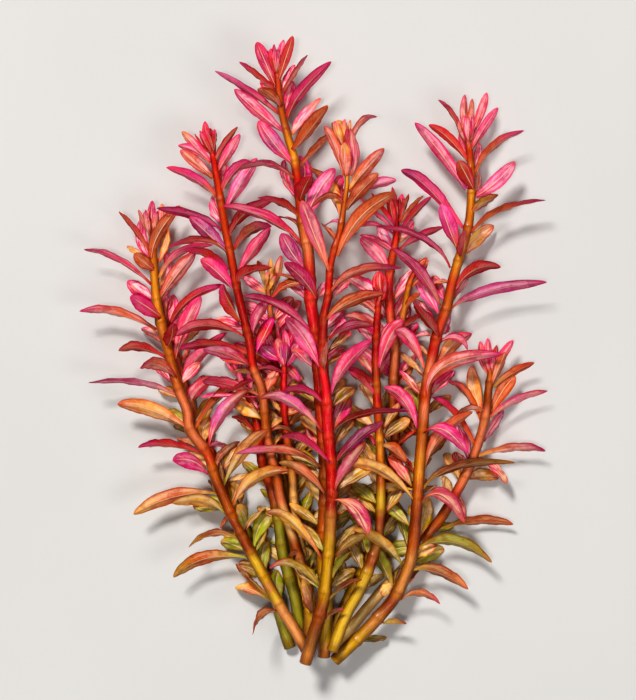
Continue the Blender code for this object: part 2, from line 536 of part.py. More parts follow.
def make_layout(more=()):
    """Lay every leaf so that no two leaves or stems touch. Returns stems and placed leaves.

    The rules in more lay further small leaves in the room that is left."""
    stems = {spec["key"]: Stem(name, spec) for name, spec in STEMS.items()}
    space = Space()
    for stem in stems.values():
        rings = list(range(0, len(stem.points), 3))
        if rings[-1] != len(stem.points) - 1:
            rings.append(len(stem.points) - 1)
        verts, faces = fat_tube(stem, rings, 8, 0.3)
        space.add(verts, faces, stem)
    leaves, order = [], 0
    for key, text in LEAVES.items():
        for row in text.replace("\n", "|").split("|"):
            cell = row.split()
            if len(cell) != 9:
                continue
            x = [float(v) for v in cell[:7]]
            leaves.append(Leaf(stems[key], x[0:2], x[2:4], x[4:6], x[6], cell[7], cell[8], order))
            order += 1
    leaves.sort(key=lambda leaf: (-(leaf.foot.z + leaf.dz), leaf.order))
    for rule, (key, y_first, y_last, step, reach) in enumerate(FILL + tuple(more)):
        stem = stems[key]
        y, k = y_first, 0
        while y < y_last:
            wave = math.sin(order * 12.9898) * 43758.5453
            dice = wave - math.floor(wave)
            i = min(range(len(stem.points)), key=lambda j: abs(Y0 - stem.points[j].y / UNIT - y))
            p, t = stem.points[i], stem.tangent(i)
            x, r = p.x / UNIT + X0, stem.radii[i] / UNIT
            for side in (-1, 1):
                spread = math.radians(22 + 34 * dice) * side
                d = Vector((t.x * math.cos(spread) + t.y * math.sin(spread), t.y * math.cos(spread) - t.x * math.sin(spread), 0)).normalized()
                reach_here = reach * (0.8 + 0.4 * dice)
                foot = (x + side * r * 0.8, y)
                mid = (foot[0] + d.x * reach_here * 0.5, foot[1] - d.y * reach_here * 0.5 - 1.5)
                tip = (foot[0] + d.x * reach_here, foot[1] - d.y * reach_here + 2.5 * dice)
                colours = ("MPS", "SPO", "RSP", "OPM")[k % 4] if y < 400 else ("GKG", "OGS", "GVG", "BGK")[k % 4] if y < 520 else ("GVG", "VGB", "GGK")[k % 3]
                leaves.append(Leaf(stem, foot, mid, tip, 9 + 5 * dice, "b", colours, order, True))
                leaves[-1].spare = rule >= len(FILL)
                order += 1
                k += 1
                dice = (dice * 7.31) % 1.0
            y += step
    placed, dropped = [], []
    probes = Space()
    options = ways()
    for leaf in leaves:
        done = None
        # The last three tries let a leaf grow together with its neighbours on the same stem.
        tries = (((1.0, 1.0, False), (1.0, 1.0, True), (0.85, 0.8, True), (0.7, 0.7, True))
                 if not leaf.filler else ((1.0, 1.0, False), (0.8, 0.8, False)))
        for shrink, slim, grown in tries:
            leaf.slim = slim
            kin = leaf.stem if grown else None
            for n, (dz, bow, roll) in enumerate(options):
                if n > (90 if leaf.filler else 300):
                    break
                form = leaf.shape(leaf.dz + dz, bow, roll, shrink)
                if not leaf.clear_of_stem(form, 0.55 if grown else 0.3):
                    continue
                body = leaf.body(form)
                if space.hits(*body, skip=leaf.stem, kin=kin) or probes.hits(*body, kin=leaf.stem):
                    continue
                probe = leaf.probe(form)
                if space.hits(*probe, skip=leaf.stem, kin=leaf.stem) or probes.hits(*probe, kin=leaf.stem):
                    continue
                done = (form, body, probe)
                break
            if done:
                break
        if not done:
            dropped.append(leaf)
            continue
        leaf.form, leaf.solid_now = done[0], done[1]
        space.add(*done[1], owner=leaf)
        probes.add(*done[2], owner=leaf)
        placed.append(leaf)
    lows = [v for leaf in placed if not leaf.spare for v in leaf.solid_now[0]]
    for stem in stems.values():
        lows += stem.tube(stem.rings, SIDES)[0]
    box = bounds(lows)
    shift = Vector((-(box[0] + box[1]) / 2, -(box[2] + box[3]) / 2, -box[4]))
    return stems, placed, dropped, shift


def strays(stem, i, j):
    """Farthest that the axis between points i and j lies from the straight line between them."""
    a, b = stem.points[i], stem.points[j]
    span = stem.lengths[j] - stem.lengths[i]
    return max([0.0] + [(stem.points[k] - a.lerp(b, (stem.lengths[k] - stem.lengths[i]) / span)).length
                        for k in range(i + 1, j)])


def cad_rings(stem):
    """Ring positions along a stem: as few as keep the tube within 0.3 mm of its axis."""
    rings, last = [0], len(stem.points) - 1
    while rings[-1] < last:
        i = rings[-1]
        j = i + 1
        while j < last and stem.lengths[j + 1] - stem.lengths[i] < 26.0 and strays(stem, i, j + 1) < 0.3:
            j += 1
        rings.append(j)
    return rings
# ---- LAYOUT END ----


COLOURS = {
    "A": (0.62, 0.13, 0.05), "C": (0.60, 0.10, 0.06), "B": (0.60, 0.15, 0.05), "L": (0.58, 0.19, 0.05),
    "L2": (0.42, 0.30, 0.05), "R": (0.56, 0.16, 0.05), "RR": (0.55, 0.14, 0.05), "D": (0.60, 0.32, 0.03),
    "E": (0.50, 0.10, 0.03), "F": (0.62, 0.24, 0.04), "M": (0.36, 0.30, 0.05), "N": (0.40, 0.27, 0.05),
    "P": (0.62, 0.06, 0.12),
}


def new_mesh(name, verts, faces, shift):
    mesh = bpy.data.meshes.new(name)
    mesh.from_pydata([(v + shift) * 0.001 for v in verts], [], faces)
    bm = bmesh.new()
    bm.from_mesh(mesh)
    bmesh.ops.recalc_face_normals(bm, faces=bm.faces)
    bm.to_mesh(mesh)
    bm.free()
    return mesh


def main():
    for obj in list(bpy.data.objects):
        bpy.data.objects.remove(obj, do_unlink=True)
    stems, placed, dropped, shift = make_layout()
    for stem in stems.values():
        material = bpy.data.materials.new(stem.name)
        material.use_nodes = True
        shader = material.node_tree.nodes["Principled BSDF"]
        shader.inputs["Base Color"].default_value = (*COLOURS[stem.key], 1.0)
        shader.inputs["Roughness"].default_value = 0.42
        shader.inputs["Metallic"].default_value = 0.0
        verts, faces = stem.tube(stem.rings, SIDES)
        obj = bpy.data.objects.new(stem.name, new_mesh(stem.name, verts, faces, shift))
        obj.data.materials.append(material)
        bpy.context.scene.collection.objects.link(obj)
        verts, faces = [], []
        for leaf in placed:
            if leaf.stem is stem:
                base = len(verts)
                verts += leaf.solid_now[0]
                faces += [tuple(base + i for i in face) for face in leaf.solid_now[1]]
        if not verts:
            continue
        blades = bpy.data.objects.new(stem.name + "_blades", new_mesh(stem.name + "_blades", verts, faces, shift))
        bpy.context.scene.collection.objects.link(blades)
        blades.hide_render = True
        blades.display_type = "WIRE"
        union = obj.modifiers.new("grown leaves", "BOOLEAN")
        union.operation = "UNION"
        union.solver = "EXACT"
        union.use_self = True
        union.object = blades
    print("leaves placed", len(placed), "left out", len(dropped))


main()
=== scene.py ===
"""Looks of the rotala bunch: every leaf and stem of the solids, finished as smooth, veined, coloured plant."""
import math

import bmesh
import bpy
import numpy as np
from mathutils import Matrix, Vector
from mathutils.bvhtree import BVHTree


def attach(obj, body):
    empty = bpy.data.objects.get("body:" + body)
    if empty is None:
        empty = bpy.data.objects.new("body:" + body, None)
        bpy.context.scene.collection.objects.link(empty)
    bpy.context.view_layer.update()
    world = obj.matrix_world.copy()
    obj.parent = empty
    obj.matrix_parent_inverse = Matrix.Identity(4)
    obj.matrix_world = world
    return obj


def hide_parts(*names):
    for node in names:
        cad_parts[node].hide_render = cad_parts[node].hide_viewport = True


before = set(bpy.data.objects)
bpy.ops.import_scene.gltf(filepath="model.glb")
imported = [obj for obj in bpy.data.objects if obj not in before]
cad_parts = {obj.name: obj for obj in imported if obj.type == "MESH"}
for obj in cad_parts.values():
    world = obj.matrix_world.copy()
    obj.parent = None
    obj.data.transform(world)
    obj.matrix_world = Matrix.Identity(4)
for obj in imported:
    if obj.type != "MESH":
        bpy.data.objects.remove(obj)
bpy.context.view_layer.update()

# ---- LAYOUT BEGIN ----
UNIT = 0.265            # millimetres per drawing unit
X0, Y0 = 314.0, 349.0   # drawing units at the middle of the bunch
GAP = 0.32              # least gap between two leaves or stems, mm
FLOOR = 0.12            # lowest height of any leaf, mm
LEAF_WIDTH = 17.0       # full leaf width, drawing units
SIDES = 6               # sides of a stem

# Each stem: points of its axis (x, y), heights (y, mm) and widths (y, drawing units).
STEMS = {
    "stem_tall_left_front": dict(
        key="A",
        axis="276.5,66 278,81 281,108 287,134 294,158 299,190 303,225 308,252 310,280 311,304 314,325 "
             "316,345 318,367 320,400 322,430 324,460 325,489 323,525 322,561 326,590 327,615 324,652",
        z="52,12.0 160,14.0 250,15.4 340,14.9 400,13.4 480,11.6 575,9.0 652,7.6",
        w="66,4 85,7 150,9 230,12 300,13 340,12 560,12 600,12 652,14"),
    "stem_center_front": dict(
        key="C",
        axis="342.3,138 344,150 347,180 344,205 339,236 335,247 330,269 328,296 324,316 323,340 "
             "323,367 326,394 328,430 331,460 332,489 331,507 330,534 327,570 322,605 314,632 307,657",
        z="124,13.5 180,16.0 250,18.0 300,18.6 367,18.0 430,16.8 500,15.6 575,14.0 657,12.7",
        w="138,3.5 180,5 230,7 290,8 345,10 400,12 480,12.5 600,13 657,13.5"),
    "stem_left_middle": dict(
        key="B",
        axis="210,146 213,155 218,184 224,221 231,256 237,289 244,318 250,343 253,367 262,391 266,427 "
             "271,454 277,480 281,502 291,532 302,570 309,592 310,610 308,638",
        z="132,9.5 220,11.0 343,11.2 430,9.6 502,8.2 570,7.4 598,7.2 638,6.3",
        w="146,4 156,7.5 200,8.8 260,9.2 343,9.6 430,9.6 520,10.5 590,12 638,12.5"),
    "stem_left_outer": dict(
        key="L",
        axis="152,228 152,238 154,275 158,312 168,351 178,388 187,411 190,430 208,455 216,480 234,520 "
             "255,561 279,605 293,627 303,645",
        z="210,7.6 312,8.4 430,8.4 520,8.2 605,8.7 645,9.6",
        w="228,4.5 245,9 285,9.5 330,11 430,11.5 605,12 645,12.5"),
    "stem_left_outer_back": dict(
        key="L2",
        axis="164,306 165,322 173,350 181,377 188,400 197,428 212,457 226,490 243,525 262,566 274,600 288,645",
        z="292,5.0 350,4.2 430,2.6 500,2.3 645,2.0",
        w="306,4 320,7 377,9 430,10 560,11 600,12 645,13"),
    "stem_right_tall": dict(
        key="R",
        axis="468,134 469,145 472,180 470,216 465,239 453,280 446,310 437,336 428,379 425,400 421,452 "
             "417,505 412,555 404,580 394,600 378,619 361,637 339,658",
        z="118,8.5 240,9.8 380,9.4 505,8.6 580,7.4 655,6.6",
        w="134,4 150,8 200,9 300,11 400,12 505,12 600,13 655,13.5"),
    "stem_right_low": dict(
        key="RR",
        axis="490,364 491,375 489,393 487,411 480,441 467,475 443,518 428,537 414,558 399,577 380,596 344,640",
        z="352,6.5 411,6.6 475,5.2 537,3.4 577,2.6 640,2.1",
        w="364,4 380,8 411,9.5 475,10.5 540,11 640,12"),
    "stem_right_middle": dict(
        key="D",
        axis="379,298 378,308 376,340 376,376 378,412 380,448 381,500 378,539 370,565 358,593 346,615 334,645",
        z="285,10.0 376,9.8 448,9.2 539,9.2 593,9.9 645,10.9",
        w="298,5 315,8 376,9 448,9.5 539,10.5 570,12.5 645,12.5"),
    "stem_right_middle_back": dict(
        key="E",
        axis="397,214 397,222 396,241 391,265 389,288 391,318 395,350 394,380 394,407 396,439 392,475 "
             "389,504 382,534 366,566 347,603 329,638",
        z="198,7 288,6.4 350,5.2 407,3.8 475,2.6 540,1.9 638,1.8",
        w="214,4 230,7 265,9.5 350,10 439,10 540,10.5 638,11"),
    "shoot_right_middle_side": dict(
        key="F",
        axis="423,264 419,268 412,277 408,290 406,303 403.6,314 402.6,325",
        z="258,8.6 303,7.0 325,6.0",
        w="258,3.5 277,6 314,7 325,7"),
    "stem_left_middle_back": dict(
        key="M",
        axis="236,368 247,394 254,412 259,440 262,465 270,488 278,521 282,552 289,579 296,605 300,634",
        z="368,6.8 412,5.6 465,4.6 521,4.0 600,3.8 634,3.1",
        w="368,4 394,7 440,9.5 488,10 521,12 579,12.5 634,13"),
    "stem_center_back_olive": dict(
        key="N",
        axis="269.5,280 268,290 270,312 274,350 278,400 281,450 285,500 293,550 303,600 313,638",
        z="262,7.5 312,6.0 400,3.0 450,2.0 500,1.6 638,1.6",
        w="280,4 300,6 350,8 500,9 638,9.5"),
    "stem_center_back_pink": dict(
        key="P",
        axis="284,356 284,370 284,410 287,440 292,475 294,505 301,550 310,600 320,638",
        z="340,8.5 410,7.0 475,5.4 550,4.5 600,3.8 638,4.0",
        w="356,4 375,7 440,9 550,9.5 638,10"),
}

# Each leaf: foot x y, middle x y, tip x y, width, lie and colours from foot to tip.
# Lie: f rises towards the viewer, b goes away, s lies in the plane of the drawing; u shows its
# upper face; a number is an extra height of the tip in mm.
LEAVES = {
    "A": """
275 74 272 62 271 50 6 f RRP|276 74 275 60 274 45 6 s RRM|277 74 278 62 278 49 6 s RSP
277 74 280 56 283 40 8 b MPP|279 80 286 58 293 37 10 f ORR|275 86 265 62 257 43 13 s RMP
274 89 257 75 240 62 6 s RRM|283 92 295 73 307 55 6 s OSM|283 93 288 79 295 65 9 b PPP
276 95 268 86 261 79 10 b PPP|281 107 271 97 258 91 10 f ROO|285 111 289 96 293 80 12 b MPM
287 120 301 91 332 63 11 s RMM|279 115 251 92 215 72 8 s RMW|284 133 259 112 235 90 12 s MPM
293 134 304 116 321 98 12 b SWS|293 151 309 130 327 107 14 f OOO|293 165 274 143 259 122 15 s PUP
301 166 318 146 337 131 7 s OOO|301 186 306 170 300 154 12 b MMM|297 199 287 180 285 159 11 b MPM
297 182 267 164 234 173 7 s OPO|300 201 303 190 311 179 14 f RRR|300 220 284 204 258 199 9 s ORP
300 230 290 218 273 217 4 b RRR|302 244 268 218 223 207 11 s RMM|302 248 294 236 287 225 5 b PPP
304 268 292 252 282 234 16 s WUM|318 300 304 279 285 264 14 f RMM|309 287 288 283 269 299 9 b BBR
309 284 295 278 272 271 3 b BBR|313 333 282 306 243 294 10 s MMM|305 222 318 193 335 170 17 s PWM
322 467 285 450 236 454 9 f BSW|321 447 312 433 305 420 14 b SPS""",
    "C": """
340 135 339 128 337 122 8 f OKK|341 135 342 128 342 121 6 b OKK|343 176 336 148 325 127 8 s SSS
346 177 345 160 344 145 12 f SSK|346 150 347 140 347 130 7 s MRM|351 177 355 157 349 130 9 s SPS
345 160 358 126 377 117 6 s SSM|351 190 365 170 384 150 13 s KSO|346 210 359 192 378 175 13 s BOS
352 193 372 185 396 182 9 s OWW|341 222 332 190 309 167 12 s OKO|344 198 338 188 343 176 9 b PRP
344 205 330 197 311 208 5 s ROR|329 272 314 232 302 202 15 f SNN|341 224 333 221 324 226 3 b MMM
343 230 348 225 353 220 4 b MMM|337 242 330 232 322 222 5 b OOO|338 258 360 217 395 195 16 f SOB
329 294 357 271 401 269 11 s OSM|326 320 350 301 383 293 13 f OOR|319 366 304 338 285 317 15 f MWM
323 368 324 355 325 342 9 f SSS|324 402 303 388 283 392 8 s MMM|322 430 290 400 259 397 13 s RWO
330 461 300 437 280 438 9 f MMM|324 492 303 470 279 460 12 s BSG|322 558 293 520 266 510 13 s OKS
320 583 293 563 269 566 9 s GGP|331 392 346 362 371 342 14 f MPM|333 430 362 412 410 410 9 s BRM
334 462 355 438 382 420 12 s RUM|334 488 347 463 365 441 12 f RWR|334 498 355 505 367 531 14 fu SNN
336 556 350 540 366 533 10 s BGG|332 577 339 561 351 550 9 s GVG|329 598 345 582 362 577 8 s GBS
326 615 335 609 344 607 5 s BBP|330 339 348 326 373 325 8 s RMR|332 352 340 340 348 332 8 b BGP
331 363 337 356 343 352 7 b GOK|331 336 337 328 343 319 6 b SPP|334 427 341 410 349 396 17 b SMS""",
    "B": """
212 152 207 138 205 121 9 s RRP|213 150 214 139 215 129 6 s RRP|210 161 195 145 182 131 9 s PPK
210 164 196 150 178 145 6 s RPP|213 178 197 163 180 150 11 s OSS|216 196 195 178 166 168 10 s OMP
214 162 223 145 237 126 6 s ORO|218 171 228 153 240 134 10 s RPM|220 184 224 173 226 164 9 b PPP
221 193 233 171 250 161 10 s RMM|228 206 240 183 257 158 14 s MWM|217 197 215 191 213 185 5 b PPP
221 222 212 208 210 195 10 b MPM|222 231 198 216 157 207 8 s MMM|227 251 208 232 190 217 15 s UUM
228 240 243 213 275 200 10 s RRM|230 228 234 219 237 211 5 b SSS|234 250 250 230 272 226 10 s RBM
241 271 254 248 271 229 14 s PPM|228 270 210 255 184 249 7 s MRM|226 249 198 239 169 249 6 s ORP
234 290 218 271 201 259 15 s MMP|240 322 228 303 221 285 12 f ORP|239 287 244 272 272 267 8 s RRR
241 338 208 324 174 335 11 s RRW|250 366 227 352 205 350 14 f RPW|250 352 210 343 181 350 9 s RRM
252 374 240 370 231 371 6 f SKK|253 395 228 383 203 381 9 s SPM|245 400 215 395 199 398 4 b PMP
252 333 258 315 270 300 11 s MPM|258 352 264 333 273 317 12 b MRM|255 379 243 384 231 391 6 s MRR
258 411 245 400 232 394 7 b OKP|266 394 270 380 276 369 13 b SSO|261 367 272 367 284 374 5 s RMP
272 430 284 427 294 434 6 s RSS|271 428 276 421 281 417 8 b OKB|274 446 276 440 279 433 6 b GKG
311 612 309 597 303 577 11 f OSK|300 553 291 554 287 561 5 s OSO|316 560 309 550 301 547 9 b GKG
257 409 254 402 252 395 6 b PPS""",
    "L": """
152 235 151 218 152 200 9 s UMM|155 238 161 220 161 203 9 s OPK|149 235 143 222 138 209 6 s OSS
151 258 158 233 180 205 13 f OBO|148 249 135 229 119 210 7 s ORO|147 256 141 240 141 218 12 b MPM
159 262 165 242 165 226 9 b OKO|161 284 167 268 165 250 8 b KPP|153 270 144 262 135 254 13 f ROO
146 260 136 252 126 245 6 b KKK|151 284 118 258 83 248 8 s RPM|159 277 178 253 213 243 7 s KPP
160 297 176 273 195 251 14 s OSR|152 302 139 290 126 280 14 b WMM|160 317 146 307 131 297 15 f RMM
155 330 120 313 79 309 8 s OSM|175 358 184 325 201 296 15 s RPM|167 345 171 335 174 324 12 f RRR
166 358 140 346 118 350 9 s RRS|176 377 157 363 141 367 13 f RSP|178 396 140 382 87 381 9 s SWM
190 430 153 410 117 404 15 s OKO|201 424 222 393 258 379 10 s OBR|208 446 222 412 248 390 14 s RWS
200 452 166 444 138 448 10 s RRM|198 449 187 440 175 440 10 b KSS|206 474 191 461 173 460 16 f PMM
217 494 173 496 133 515 15 s GSK|225 514 203 500 172 503 12 s VKK|227 519 223 523 219 528 5 b OOO
238 539 212 533 188 547 10 s GOK|246 558 204 558 173 578 15 s VOG|265 601 248 580 236 566 12 b GBS
267 603 251 590 234 589 10 b GSK|272 612 259 615 254 632 10 f BSP|227 484 243 450 268 428 13 s VKO
232 507 254 478 289 469 12 s OKO|254 548 261 525 274 516 12 b VVG|266 575 262 558 268 543 12 b GVG
282 600 277 585 279 573 8 b GVG|209 447 218 445 227 447 5 b MMR|205 442 203 430 209 417 8 b KKO
216 466 222 453 240 441 7 s OSB|223 484 220 472 218 462 9 b GKB|232 502 236 492 235 484 10 b GKG
243 530 244 516 238 504 11 f GVK|247 530 253 517 264 510 8 b BGG|215 491 212 486 209 481 4 b GKG""",
    "L2": """
168 321 172 307 171 294 11 s PPP|170 323 189 298 222 284 8 s RRM|182 347 188 336 199 329 8 s OGO
184 381 193 359 226 333 12 s SWM|183 361 184 355 184 349 6 b SSS|186 409 196 389 214 378 14 s SPS
226 484 238 479 250 475 9 b GKG|160 312 157 302 158 292 7 s RRP""",
    "N": """
272 292 277 272 281 255 9 s GKP|266 291 262 272 257 260 6 s GGO|266 292 254 284 243 275 10 s KPP
271 285 270 272 271 258 7 f GGK""",
    "P": """
284 366 281 352 277 338 12 f MPS|286 366 294 352 298 343 12 s MMM|284 358 286 345 284 330 9 f SMP
281 360 268 352 262 345 14 s MUM|288 358 291 347 296 336 8 b PMM|279 358 270 343 268 330 10 b SPP
283 345 278 332 277 322 8 b PPP|286 345 292 331 294 318 7 b MRM|281 366 290 370 300 381 9 f MRM
285 392 278 386 281 376 10 b KOK|287 440 300 430 304 424 10 b GKG|284 412 295 410 300 404 8 b OOR
291 466 300 452 312 452 12 b GKG|282 412 276 406 272 398 5 b OKO|292 476 283 469 278 476 9 b GKG""",
    "R": """
468 140 464 117 465 94 8 s MSP|470 140 471 120 473 98 8 s SSS|474 138 481 112 487 92 9 s RPP
466 141 454 115 439 98 5 s MRM|468 154 463 143 462 131 7 b PPP|471 150 484 127 498 107 9 s RPP
474 170 479 155 480 141 9 b PPP|468 160 450 138 429 124 9 s RRR|475 173 492 147 524 129 8 s OOM
476 191 480 178 479 165 7 b SSS|465 190 443 154 415 122 12 s WPM|473 188 465 175 457 162 15 f RRO
476 197 497 181 515 161 15 s PWM|471 213 483 202 498 195 11 s OGO|471 232 500 209 546 201 8 s OOM
463 228 430 187 401 169 12 s PMU|458 250 450 227 441 204 14 s OMW|467 253 477 238 496 225 14 b SKS
460 255 461 245 462 232 9 f RRR|455 288 475 268 501 267 14 s RRR|451 309 485 291 547 281 10 s OWM
450 268 425 238 376 224 6 s RMP|439 305 422 274 393 247 12 s SMM|437 312 428 293 418 277 16 b PWP
449 281 440 281 430 282 5 b OOP|439 337 428 320 413 305 12 f RRR|443 335 448 325 453 316 8 b MPM
439 371 451 345 472 333 14 s RKM|436 345 455 336 468 350 9 su RMP|426 396 446 364 503 354 16 f RSM
425 370 410 339 394 330 12 s SPP|424 375 412 362 402 351 8 b OKO|417 430 405 400 384 386 14 s MPP
425 466 441 434 473 411 14 s BSO|423 433 443 428 466 452 12 fu RMN|413 499 380 468 345 464 13 f KKK
402 566 380 540 352 530 12 f VKK|422 490 455 466 516 462 10 s GBG|421 502 441 493 464 521 14 fu SNN
425 549 453 541 494 562 14 s GVG|413 571 438 571 469 589 12 s GBS|401 600 421 593 441 604 9 s BSP
384 625 395 622 407 624 7 s GKR|360 643 374 641 386 640 8 b GGG|400 488 375 490 352 507 12 b KGO
393 588 384 565 371 546 12 s GVG|410 556 405 528 399 502 9 b GVG|409 583 413 578 412 573 8 b SOS
421 538 426 517 430 500 15 b BGK|417 560 422 552 437 547 8 b GKS|395 586 399 576 402 567 7 b KKO
391 583 386 590 382 597 9 b SKO|423 495 428 489 435 487 9 b KKO|413 472 404 460 387 456 6 b RRS
412 488 401 470 390 456 14 b GPS|413 480 410 468 407 460 8 b GVG|415 431 406 437 399 443 5 b RRO
417 436 408 427 399 421 9 b OBR|428 355 420 346 414 341 7 b KKO|430 335 420 334 412 338 6 b OPK""",
    "RR": """
489 372 484 357 481 341 7 s RSP|489 372 489 355 488 338 9 f RPP|490 370 495 357 497 345 6 s ORR
492 370 503 355 514 340 9 s OPP|493 383 500 365 506 352 10 f SOS|494 387 512 373 535 362 8 s GOR
490 416 505 389 517 377 14 b OOO|491 418 516 400 549 391 9 s SWP|485 441 496 425 507 412 10 b UPU
485 458 516 448 547 451 10 s KSM|478 458 497 468 508 484 9 su RPS|482 414 476 389 473 366 13 b SKS
482 421 469 393 450 380 7 s OOP|476 446 457 415 433 396 6 s ORM|470 463 466 440 459 426 12 b UPU
444 531 478 522 515 525 9 s GOO|484 411 470 408 456 416 7 s SSO|471 470 463 462 458 453 10 b PPR
456 498 462 505 468 520 9 b PPP""",
    "D": """
383 300 380 286 379 271 16 f RRR|376 312 365 303 355 300 7 s SSK|374 330 360 318 345 316 6 s PSS
374 334 356 326 336 340 7 s MRR|373 342 362 326 350 313 11 b PPS|375 384 362 374 347 366 9 s RRM
379 368 389 337 404 320 14 f MPM|376 395 362 380 349 372 6 s MRM|374 445 370 436 363 436 4 s MRM
376 470 370 455 362 441 9 b GKG|382 446 394 449 406 462 12 s GOO|378 412 387 400 390 386 11 b OGK""",
    "E": """
397 222 395 205 393 186 7 s RRR|399 218 401 205 402 193 8 b RRM|400 220 404 206 409 193 5 s ROR
402 222 411 207 424 195 5 s OOO|402 230 414 212 432 196 6 s MRM|402 251 419 235 444 227 6 s RMM
396 224 384 210 371 192 4 s MRR|394 228 377 213 360 197 5 s MMP|395 234 371 223 346 231 4 s MPM
392 248 385 236 379 224 11 b PWM|403 240 408 230 411 218 9 b KPP|397 254 380 242 360 235 7 s MPM
389 271 376 252 360 238 14 f PWM|393 325 401 318 409 320 7 s MPP|398 385 404 375 413 364 9 b OBG""",
    "F": """
403 328 413 318 424 313 6 s ORO|406 306 412 299 420 293 5 s OOO|404 318 408 311 411 303 5 b KOK
413 286 420 271 427 257 11 s OOR""",
    "M": """
253 431 243 420 231 416 7 s RRR|277 548 270 543 262 538 7 b GVG|247 394 241 382 238 368 8 b MPM
249 392 250 376 246 360 7 s PPP|255 422 250 410 250 398 8 b PPS|262 462 256 450 250 440 9 b GKG
288 578 292 570 296 560 9 b GVG|279 522 268 513 258 508 9 b GKG""",
}
# Low, half-hidden leaves at the foot of the bunch: stem, first and last y, spacing, length.
FILL = (("N", 330, 600, 34, 38), ("P", 425, 610, 37, 38), ("E", 300, 600, 37, 42),
        ("D", 430, 590, 42, 40), ("M", 440, 600, 44, 36), ("A", 480, 600, 46, 36),
        ("L2", 440, 600, 56, 32), ("RR", 480, 560, 56, 28), ("B", 420, 560, 56, 34),
        ("C", 430, 600, 60, 38), ("R", 330, 590, 66, 36))


def pairs(text):
    return [tuple(float(v) for v in item.split(",")) for item in text.split()]


def table_value(rows, y):
    """Linear value at y in rows of (y, value)."""
    if y <= rows[0][0]:
        return rows[0][1]
    for (ya, a), (yb, b) in zip(rows, rows[1:]):
        if y <= yb:
            return a + (b - a) * (y - ya) / (yb - ya)
    return rows[-1][1]


def catmull(p0, p1, p2, p3, t):
    return 0.5 * ((2 * p1) + (p2 - p0) * t + (2 * p0 - 5 * p1 + 4 * p2 - p3) * t * t
                  + (3 * p1 - p0 - 3 * p2 + p3) * t * t * t)


class Stem:
    """Axis of one stem from its tip to its cut end, in millimetres."""
    grid = None

    def __init__(self, name, spec):
        self.name, self.key = name, spec["key"]
        flat = pairs(spec["axis"])
        heights, widths = pairs(spec["z"]), pairs(spec["w"])
        knots = [Vector(((x - X0) * UNIT, (Y0 - y) * UNIT, table_value(heights, y))) for x, y in flat]
        self.points, self.knot_index = [], []
        for i in range(len(knots) - 1):
            a, d = knots[max(0, i - 1)], knots[min(len(knots) - 1, i + 2)]
            steps = max(2, round((knots[i + 1] - knots[i]).length / 0.8))
            self.knot_index.append(len(self.points))
            self.points += [catmull(a, knots[i], knots[i + 1], d, k / steps) for k in range(steps)]
        self.knot_index.append(len(self.points))
        self.points.append(knots[-1])
        self.radii = [0.5 * UNIT * table_value(widths, Y0 - p.y / UNIT) for p in self.points]
        self.lengths = [0.0]
        for a, b in zip(self.points, self.points[1:]):
            self.lengths.append(self.lengths[-1] + (b - a).length)
        self.rings = cad_rings(self)

    def chord(self, i):
        """Point of the ring-to-ring line beside point i of the axis."""
        for a, b in zip(self.rings, self.rings[1:]):
            if i <= b:
                share = (self.lengths[i] - self.lengths[a]) / (self.lengths[b] - self.lengths[a])
                return self.points[a].lerp(self.points[b], share)
        return self.points[-1].copy()

    def tangent(self, i):
        """Direction towards the tip."""
        a, b = self.points[max(0, i - 1)], self.points[min(len(self.points) - 1, i + 1)]
        return (a - b).normalized()

    def nearest(self, p):
        flat = Vector((p.x, p.y, 0))
        return min(range(len(self.points)), key=lambda i: (Vector((self.points[i].x, self.points[i].y, 0)) - flat).length)

    def distance(self, p):
        """Distance from p to the skin of the stem."""
        if self.grid is None:
            self.grid = np.array([tuple(q) for q in self.points])
            self.skin = np.array(self.radii)
        return float(np.min(np.sqrt(((self.grid - np.array(tuple(p))) ** 2).sum(axis=1)) - self.skin))

    def tube(self, rings, sides, turn=0.0):
        """Vertices and faces of a closed tube through the points with the given indices."""
        verts, faces = [], []
        for i in rings:
            t = self.tangent(i)
            side = t.cross(Vector((0, 0, 1))).normalized()
            up = side.cross(t).normalized()
            for k in range(sides):
                a = 2 * math.pi * (k + turn) / sides
                verts.append(self.points[i] + (side * math.cos(a) + up * math.sin(a)) * self.radii[i])
        n = len(rings)
        for i in range(n - 1):
            for k in range(sides):
                a, b = i * sides + k, i * sides + (k + 1) % sides
                faces.append((a, b, b + sides, a + sides))
        faces.append(tuple(range(sides - 1, -1, -1)))
        faces.append(tuple((n - 1) * sides + k for k in range(sides)))
        return verts, faces


def blade_width(t, base=0.13):
    """Share of the full width at t from the foot (0) to the tip (1)."""
    if t < 0.52:
        return base + (1.0 - base) * math.sin(0.5 * math.pi * t / 0.52) ** 1.5
    return max(0.0, 1.0 - ((t - 0.52) / 0.48) ** 2.3) ** 0.62


